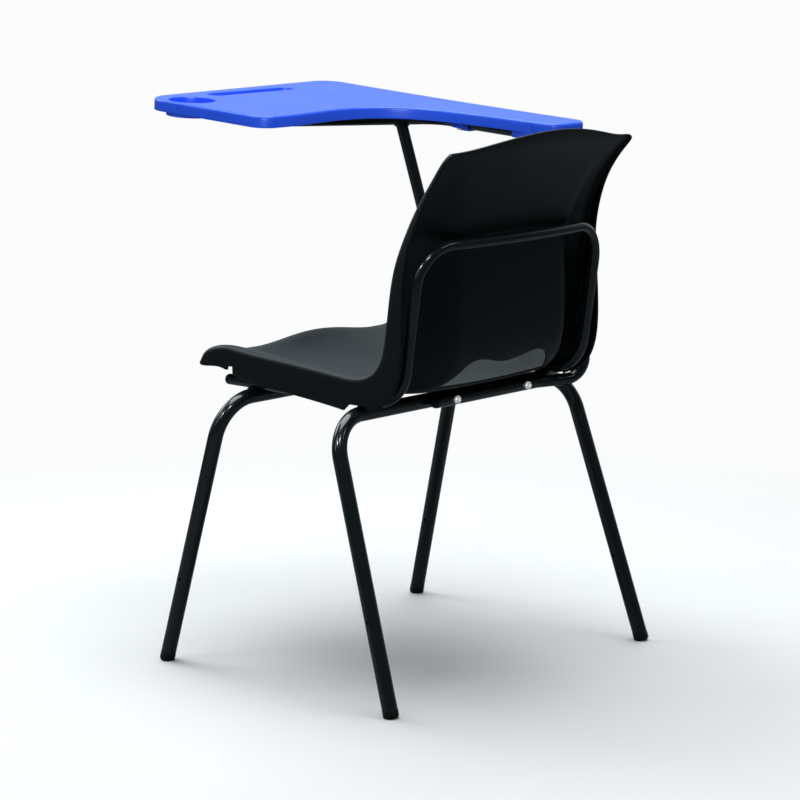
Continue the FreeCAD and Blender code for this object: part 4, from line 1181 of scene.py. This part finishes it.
def make_tablet():
    build = Build()
    outline = tablet_outline()
    normals = loop_normals(outline)
    deck = -TABLET_DECK
    steps = [(drop, -inset) for inset, drop in fillet(TABLET_EDGE, 7)]
    steps += [(0, level_z) for level_z in RIM_LEVELS]
    steps += [(inset, drop - TABLET_RIM) for inset, drop in fillet(RIM_LIP)]
    steps += [(TABLET_WALL - inset, drop - TABLET_RIM) for inset, drop in reversed(fillet(RIM_LIP))]
    steps += [(TABLET_WALL + inset, deck - drop) for inset, drop in fillet(DECK_FILLET, 3)]
    rows = [level(build, outline - normals * inset, z) for inset, z in steps]
    build.grid(rows)
    hole = [level(build, cup(CUP_R + inset), -drop) for inset, drop in reversed(fillet(CUP_LIP))]
    hole.append(level(build, cup(CUP_R), deck))
    build.grid(hole)
    top, low = add_groove(build)
    fill(build, [rows[0], hole[0], top[0]],
         [outline - normals * TABLET_EDGE, cup(CUP_R + CUP_LIP), slot(top[1])], 0.0)
    fill(build, [rows[-1], hole[-1], low[0]],
         [outline - normals * (TABLET_WALL + DECK_FILLET), cup(CUP_R), slot(low[1])], deck)
    add_bucket(build)
    add_ribs(build, outline - normals * (TABLET_WALL - 0.5))
    turns = np.radians(np.arange(0, 181, 6))
    saddle = [(-CLAMP_HALF, -HINGE_DROP)]
    saddle += zip(-CLAMP_BORE * np.cos(turns), CLAMP_BORE * np.sin(turns) - HINGE_DROP)
    saddle += [(CLAMP_HALF, -HINGE_DROP), (CLAMP_HALF, deck / 2), (-CLAMP_HALF, deck / 2)]
    for rear, front in SADDLES.values():
        extrusion(build, saddle, ((HINGE_X, rear, 0), RIGHT, UP, (0, 1, 0)), front - rear)
    build.piece("tablet_moulding", "tablet", "tablet_plastic", "writing_tablet", place=tablet_place())


def add_groove(build):
    """Both faces of the pen groove's wall.  Returns (numbers, half width) where each meets the
    deck's top and underside."""
    floor = GROOVE_R - GROOVE_DRAFT
    steps = [(GROOVE_R + inset, -drop) for inset, drop in reversed(fillet(GROOVE_LIP))]
    steps += [(floor - inset, drop - GROOVE_DEPTH) for inset, drop in fillet(GROOVE_FILLET)]
    upper = [level(build, slot(radius), z) for radius, z in steps]
    build.grid(upper)
    floor -= GROOVE_FILLET
    fill(build, [upper[-1]], [slot(floor)], -GROOVE_DEPTH, 7.0)
    size, deck = GROOVE_R + POCKET_WALL, -TABLET_DECK
    steps = [(size + 1.0, deck), (size + 0.3, deck - 0.3), (size, deck - 1.0)]
    steps += [(size - inset, drop - GROOVE_DEPTH - POCKET_WALL) for inset, drop in fillet(POCKET_EDGE)]
    lower = [level(build, slot(radius), z) for radius, z in steps]
    build.grid(lower)
    fill(build, [lower[-1]], [slot(size - POCKET_EDGE)], -GROOVE_DEPTH - POCKET_WALL, 9.0)
    return (upper[0], GROOVE_R + GROOVE_LIP), (lower[0], size + 1.0)


def add_bucket(build):
    """The cup holder's wall and floor, hanging in the hole of the deck."""
    low = -CUP_DEPTH - POCKET_WALL
    outer, inner, top = CUP_R + POCKET_WALL, CUP_R - 0.03, 0.8 - TABLET_DECK
    profile = [(low, outer * k / 5) for k in range(5)]
    profile += [(low + inset, outer - drop) for inset, drop in fillet(POCKET_EDGE)]
    profile += [(top, outer), (top, inner), (top - 8.0, inner - 0.3)]
    profile += [(drop - CUP_DEPTH, inner - 0.6 - inset) for inset, drop in fillet(CUP_FILLET, 5)]
    profile += [(-CUP_DEPTH, inner * k / 5) for k in (4, 3, 2, 1, 0)]
    lathe(build, profile, (*CUP_CENTRE, 0.0), UP, 72)


def add_ribs(build, limit):
    """Stiffening ribs under the deck, from wall to wall but not through the two recesses."""
    half, root, foot = RIB_T / 2, -TABLET_DECK, -TABLET_DECK - RIB_H
    section = [(-half - 0.5, root + 0.5), (-half - 0.35, root - 0.2), (-half, root - 1.0),
               (-half + 0.15, foot + 0.5), (-half + 0.5, foot)]
    section += [(-x, z) for x, z in reversed(section)]
    steps = np.arange(-200, 600, 1.0)
    for places, way in ((RIB_X, np.array((0.0, 1.0))), (RIB_Y, np.array((1.0, 0.0)))):
        for place in places:
            points = place * way[::-1] + steps[:, None] * way
            good = inside(points, limit)
            for recess_edge in (cup(CUP_R + 2.0), slot(GROOVE_R + 2.0)):
                good &= ~inside(points, recess_edge)
            changes = np.flatnonzero(np.diff(good.astype(int)))
            for first, last in zip(changes[::2], changes[1::2]):
                extrusion(build, section, ((*points[first + 1], 0), (way[1], -way[0], 0), UP, (*way, 0)),
                          steps[last] - steps[first + 1], 0.3)


def make_caps():
    top = -HINGE_DROP - 0.02
    flange, low, belly = -HINGE_DROP - CAP_FLANGE, -HINGE_DROP - ARM_R - CAP_T, ARM_R + CAP_T
    half = [(-CLAMP_HALF, top), (-CLAMP_HALF, flange + 0.8), (-CLAMP_HALF + 0.8, flange),
            (-belly - 1.5, flange), (-belly - 0.45, flange - 0.45), (-belly, flange - 1.5)]
    half += [(-belly + inset, low + drop) for inset, drop in fillet(CAP_EDGE, 10)]
    turns = np.radians(np.arange(0, 181, 6))
    profile = half + [(-x, z) for x, z in reversed(half)]
    profile += zip(CLAMP_BORE * np.cos(turns), top - CLAMP_BORE * np.sin(turns))
    for name, (rear, front) in CAPS.items():
        build = Build()
        extrusion(build, profile, ((HINGE_X, rear, 0), RIGHT, UP, (0, 1, 0)), front - rear, 0.9)
        build.piece(name + "_tube_clamp", "tablet", "tablet_plastic", name + "_clamp_cap",
                    place=tablet_place())


# ---- materials
class Look:
    """Shader nodes under construction; patterns are in millimetres of the object's own space."""

    def __init__(self, tree):
        self.nodes, self.links = tree.nodes, tree.links
        self.place = self.node("TexCoord", {}, "Object")

    def node(self, kind, inputs, out=0, **settings):
        """Output of a new node whose inputs are set to values or joined to other outputs."""
        node = self.nodes.new("ShaderNode" + kind)
        for name, value in settings.items():
            setattr(node, name, value)
        self.feed(node, inputs)
        return node.outputs[out]

    def feed(self, node, inputs):
        for name, value in inputs.items():
            socket = node.inputs[name]
            if isinstance(value, bpy.types.NodeSocket):
                self.links.new(value, socket)
            else:
                socket.default_value = (*value, 1) if socket.type == "RGBA" else value

    def noise(self, size, detail=2.0, rough=0.5, stretch=None):
        """Noise between 0 and 1 with features of about this size."""
        place = self.place
        if stretch:
            place = self.node("VectorMath", {0: place, 1: stretch}, operation="MULTIPLY")
        return self.node("TexNoise", {"Vector": place, "Scale": 1 / (size * MM), "Detail": detail,
                                      "Roughness": rough})

    def cells(self, size):
        """Distance from the middle of the nearest of scattered spots."""
        return self.node("TexVoronoi", {"Vector": self.place, "Scale": 1 / (size * MM)})

    def ramp(self, value, low, high, start=0.0, stop=1.0):
        """Maps low..high of a value smoothly to start..stop."""
        return self.node("MapRange", {"Value": value, "From Min": low, "From Max": high, "To Min": start,
                                      "To Max": stop}, interpolation_type="SMOOTHSTEP")

    def math(self, operation, a, b):
        return self.node("Math", {0: a, 1: b}, operation=operation)

    def mix(self, factor, a, b):
        """Colour mix; its colour sockets are numbers 6 and 7, and its colour output is number 2."""
        return self.node("Mix", {0: factor, 6: a, 7: b}, 2, data_type="RGBA")


class Surface(Look):
    """Principled material under construction."""

    def __init__(self, name):
        self.material = bpy.data.materials.new(name)
        self.material.use_nodes = True
        super().__init__(self.material.node_tree)
        self.shader = self.nodes["Principled BSDF"]
        self.relief = None

    def bump(self, height, depth, strength=1.0):
        """Adds a bump of this depth to those already there."""
        inputs = {"Height": height, "Distance": depth * MM, "Strength": strength}
        if self.relief:
            inputs["Normal"] = self.relief
        self.relief = self.node("Bump", inputs)

    def set(self, **inputs):
        inputs["Normal"] = self.relief
        self.feed(self.shader, {name.replace("_", " "): value for name, value in inputs.items()})
        return self.material


SCRATCH_STRETCHES = ((1.0, 0.03, 0.05), (0.04, 1.0, 0.05), (0.5, 0.03, 0.6))


def moulded_plastic(name, base, light, grain, grain_depth, rough, scuff, gloss):
    """Grained injection moulding: spark-eroded grain, faint flow clouds, fine scratches, dust."""
    look = Surface(name)
    color = look.mix(look.ramp(look.noise(90.0, 3.0), 0.3, 0.7), base, light)
    scratches = 0.0
    for stretch in SCRATCH_STRETCHES:
        lines = look.ramp(look.noise(1.6, 2.0, 0.5, stretch), 0.70, 0.78)
        scratches = look.math("MAXIMUM", scratches, lines)
    scratches = look.math("MULTIPLY", scratches, look.ramp(look.noise(60.0), 0.48, 0.7))
    color = look.mix(look.math("MULTIPLY", scratches, 0.22), color, scuff)
    specks = look.ramp(look.cells(8.0), 0.045, 0.02)
    dust = look.math("MULTIPLY", specks, look.ramp(look.noise(26.0), 0.55, 0.7, 0.0, 0.35))
    color = look.mix(dust, color, tuple(min(1.0, 4 * c + 0.03) for c in scuff))
    roughness = look.ramp(look.noise(120.0, 3.0), 0.25, 0.75, rough - 0.02, rough + 0.03)
    roughness = look.math("ADD", roughness, look.math("MULTIPLY", scratches, 0.06))
    look.bump(look.noise(grain, 3.0, 0.65), grain_depth, 0.7)
    look.bump(look.noise(40.0, 1.0), 0.08, 0.4)
    return look.set(Base_Color=color, Roughness=roughness, **gloss)


def powder_coat():
    """Glossy black paint with orange peel, rubbed patches and a few chips."""
    look = Surface("black_powder_coat")
    color = look.mix(look.ramp(look.noise(40.0, 4.0), 0.3, 0.7), (0.0060, 0.0090, 0.0110),
                     (0.0085, 0.0120, 0.0145))
    chips = look.math("MULTIPLY", look.ramp(look.cells(9.0), 0.075, 0.06),
                      look.ramp(look.noise(60.0, 2.0), 0.6, 0.66))
    rubbed = look.math("MULTIPLY", look.ramp(look.noise(14.0, 6.0, 0.7, (1.0, 1.0, 0.3)), 0.6, 0.75), 0.2)
    color = look.mix(rubbed, color, (0.018, 0.020, 0.022))
    color = look.mix(chips, color, (0.16, 0.15, 0.14))
    roughness = look.ramp(look.noise(12.0, 4.0), 0.3, 0.7, 0.12, 0.20)
    roughness = look.math("ADD", roughness, look.math("MULTIPLY", chips, 0.3))
    look.bump(look.noise(3.4, 2.0, 0.6), 0.16, 0.9)
    return look.set(Base_Color=color, Roughness=roughness, Coat_Weight=0.35, Coat_Roughness=0.08,
                    Specular_IOR_Level=0.5)


def rubber():
    look = Surface("black_rubber")
    color = look.mix(look.ramp(look.noise(8.0, 4.0), 0.35, 0.7), (0.010, 0.010, 0.011), (0.022, 0.022, 0.022))
    look.bump(look.noise(0.7, 3.0), 0.06, 0.8)
    return look.set(Base_Color=color, Roughness=look.ramp(look.noise(5.0), 0.3, 0.7, 0.72, 0.9))


def zinc():
    look = Surface("zinc_plated_steel")
    color = look.mix(look.ramp(look.noise(2.5, 4.0), 0.35, 0.7), (0.90, 0.92, 0.94), (0.74, 0.76, 0.78))
    color = look.mix(look.ramp(look.noise(5.0, 5.0, 0.7), 0.62, 0.75), color, (0.24, 0.22, 0.19))
    look.bump(look.noise(0.35, 2.0, 0.5, (1.0, 1.0, 0.2)), 0.015, 0.6)
    return look.set(Base_Color=color, Metallic=0.4,
                    Roughness=look.ramp(look.noise(1.6, 3.0), 0.3, 0.7, 0.22, 0.42))


# slot, material name, base colour, its lighter patches, size and depth of the grain, roughness,
# colour of scratches, gloss
PLASTICS = (
    ("shell_plastic", "black_grained_plastic", (0.0015, 0.0038, 0.0060), (0.0021, 0.0047, 0.0071),
     0.9, 0.05, 0.46, (0.020, 0.024, 0.029), {"Specular_IOR_Level": 0.4}),
    ("tablet_plastic", "blue_grained_plastic", (0.026, 0.104, 0.82), (0.030, 0.114, 0.86),
     0.8, 0.03, 0.30, (0.12, 0.22, 0.86),
     {"Specular_IOR_Level": 0.40, "Coat_Weight": 0.15, "Coat_Roughness": 0.2}),
    ("plug_plastic", "black_plug_plastic", (0.0040, 0.0046, 0.0052), (0.0060, 0.0066, 0.0072),
     0.6, 0.03, 0.46, (0.05, 0.05, 0.05), {"Specular_IOR_Level": 0.45}),
)


def make_materials():
    table = {"frame_paint": powder_coat(), "pad_rubber": rubber(), "zinc_steel": zinc()}
    for slot_name, *kind, gloss in PLASTICS:
        table[slot_name] = moulded_plastic(*kind, gloss)
    return table


# ---- stage, light, camera
LENS = 131.1                   # for a 36 mm sensor
CAMERA_AT = (-3086.5, -2907.8, 1144.0)
CAMERA_RIGHT = Vector((0.685, -0.7285, -0.0114))
CAMERA_UP = Vector((0.1372, 0.1136, 0.984))
CAMERA_VIEW = Vector((0.7155, 0.6756, -0.1778))
BACKDROP = (0.97, 0.973, 0.976)
FLOOR_FADE = (0.55, 1.7)       # metres from the middle
WALL_WAY = (0.70, 0.66, 0.27)
WALL_GLOW = (0.07, 0.50)
COOL = (0.87, 0.97, 1.0)
BLUE_PIECES = ("tablet_moulding", "front_tube_clamp", "rear_tube_clamp")
ZINC_PIECES = ("shell_fixing_screws", "arm_bolts", "arm_bolt_nuts", "clamp_cap_screws")
PAINTED_PIECES = ("front_legs", "rear_legs", "seat_rails_and_hoop", "tablet_arm_tube", "tablet_support")
# name, place and target in metres, size, power, colour, pieces that it reaches if not all
LIGHTS = (
    ("ceiling_softbox", (0.2, 0.3, 3.0), (0, 0, 0.4), (2.6, 2.6), 108, COOL, None),
    ("front_softbox", (-0.6, 2.9, 2.3), (0, 0, 0.5), (1.8, 1.2), 28, (0.85, 0.97, 1.0), None),
    ("left_strip", (-2.6, 0.9, 2.2), (0, 0, 0.5), (0.25, 1.6), 7, (1, 1, 1), None),
    ("rear_strip", (0.9, -2.6, 2.6), (0, 0, 0.5), (1.4, 0.2), 5, (1, 1, 1), None),
    ("tablet_fill", (-2.4, -2.9, 1.3), (0, 0.1, 0.7), (2.0, 1.4), 92, (0.74, 0.88, 1.0), BLUE_PIECES),
    ("metal_fill", (-2.4, -2.9, 1.3), (0, 0.1, 0.7), (2.0, 1.4), 110, (1, 1, 1), ZINC_PIECES),
    ("frame_glint_0", (-1.6, -1.5, 2.7), (0, 0, 0.4), (0.35, 0.35), 16, (0.9, 0.97, 1.0), PAINTED_PIECES),
    ("frame_glint_1", (-2.5, -0.2, 2.4), (0, 0, 0.4), (0.35, 0.35), 16, (0.9, 0.97, 1.0), PAINTED_PIECES),
)


def make_stage():
    """Pale floor that fades into the backdrop's colour away from the chair, and that throws little
    light back up at the black plastic."""
    mesh = bpy.data.meshes.new("floor")
    bm = bmesh.new()
    bmesh.ops.create_grid(bm, x_segments=32, y_segments=32, size=40)
    bm.to_mesh(mesh)
    bm.free()
    floor = bpy.data.objects.new("floor", mesh)
    bpy.context.scene.collection.objects.link(floor)
    look = Surface("pale_floor")
    distance = look.node("VectorMath", {0: look.place}, "Value", operation="LENGTH")
    tone = look.mix(look.ramp(look.noise(400.0, 3.0), 0.3, 0.7), (0.95, 0.88, 0.87), (0.97, 0.90, 0.89))
    look.bump(look.noise(3.0, 3.0), 0.03, 0.3)
    mesh.materials.append(look.set(Base_Color=tone, Roughness=0.65))
    glow = look.node("Emission", {"Color": BACKDROP})
    dim = look.node("BsdfDiffuse", {"Color": (0.16, 0.17, 0.18)})
    faded = look.node("MixShader", {0: look.ramp(distance, *FLOOR_FADE), 1: look.shader.outputs[0], 2: glow})
    seen = look.node("MixShader", {0: look.node("LightPath", {}), 1: dim, 2: faded})
    look.feed(look.nodes["Material Output"], {"Surface": seen})


def make_world():
    """Pale backdrop seen by the camera, and for every other ray a dim room with a bright wall on
    the far side of the chair."""
    world = bpy.data.worlds.new("studio")
    bpy.context.scene.world = world
    world.use_nodes = True
    look = Look(world.node_tree)
    way = look.node("TexCoord", {}, "Generated")
    toward = look.node("VectorMath", {0: way, 1: Vector(WALL_WAY).normalized()}, "Value",
                       operation="DOT_PRODUCT")
    room = look.node("Background", {"Color": (0.82, 0.96, 1.0),
                                    "Strength": look.ramp(toward, 0.15, 0.95, *WALL_GLOW)})
    backdrop = look.node("Background", {"Color": BACKDROP})
    seen = look.node("MixShader", {0: look.node("LightPath", {}), 1: room, 2: backdrop})
    look.feed(look.nodes["World Output"], {"Surface": seen})


def make_lights():
    for name, place, target, size, power, color, reach in LIGHTS:
        data = bpy.data.lights.new(name, "AREA")
        data.shape = "RECTANGLE"
        data.size, data.size_y = size
        data.energy = power
        data.color = color
        light = bpy.data.objects.new(name, data)
        light.location = place
        light.rotation_mode = "QUATERNION"
        light.rotation_quaternion = (Vector(target) - Vector(place)).to_track_quat("-Z", "Y")
        bpy.context.scene.collection.objects.link(light)
        if reach:
            pieces = bpy.data.collections.new(name + "_reach")
            for piece in reach:
                pieces.objects.link(bpy.data.objects[piece])
            light.light_linking.receiver_collection = pieces


def make_camera():
    data = bpy.data.cameras.new("camera")
    data.lens = LENS
    data.sensor_width = 36.0
    data.clip_end = 100
    camera = bpy.data.objects.new("camera", data)
    turn = Matrix((CAMERA_RIGHT, CAMERA_UP, -CAMERA_VIEW)).transposed().to_4x4()
    camera.matrix_world = Matrix.Translation(row(CAMERA_AT)) @ turn
    bpy.context.scene.collection.objects.link(camera)
    bpy.context.scene.camera = camera


MATERIALS = make_materials()
for node_name, node_object in frame["nodes"].items():
    node_object.data.materials.clear()
    node_object.data.materials.append(MATERIALS[slots[node_name]])
make_shell()
for rear_frame in (False, True):
    make_leg_frame(rear_frame)
make_hoop()
make_arm()
make_welds()
make_rest_pad()
make_tabs()
make_fasteners()
make_tablet()
make_caps()
make_stage()
make_world()
make_lights()
make_camera()
bpy.context.scene.view_settings.view_transform = "Standard"
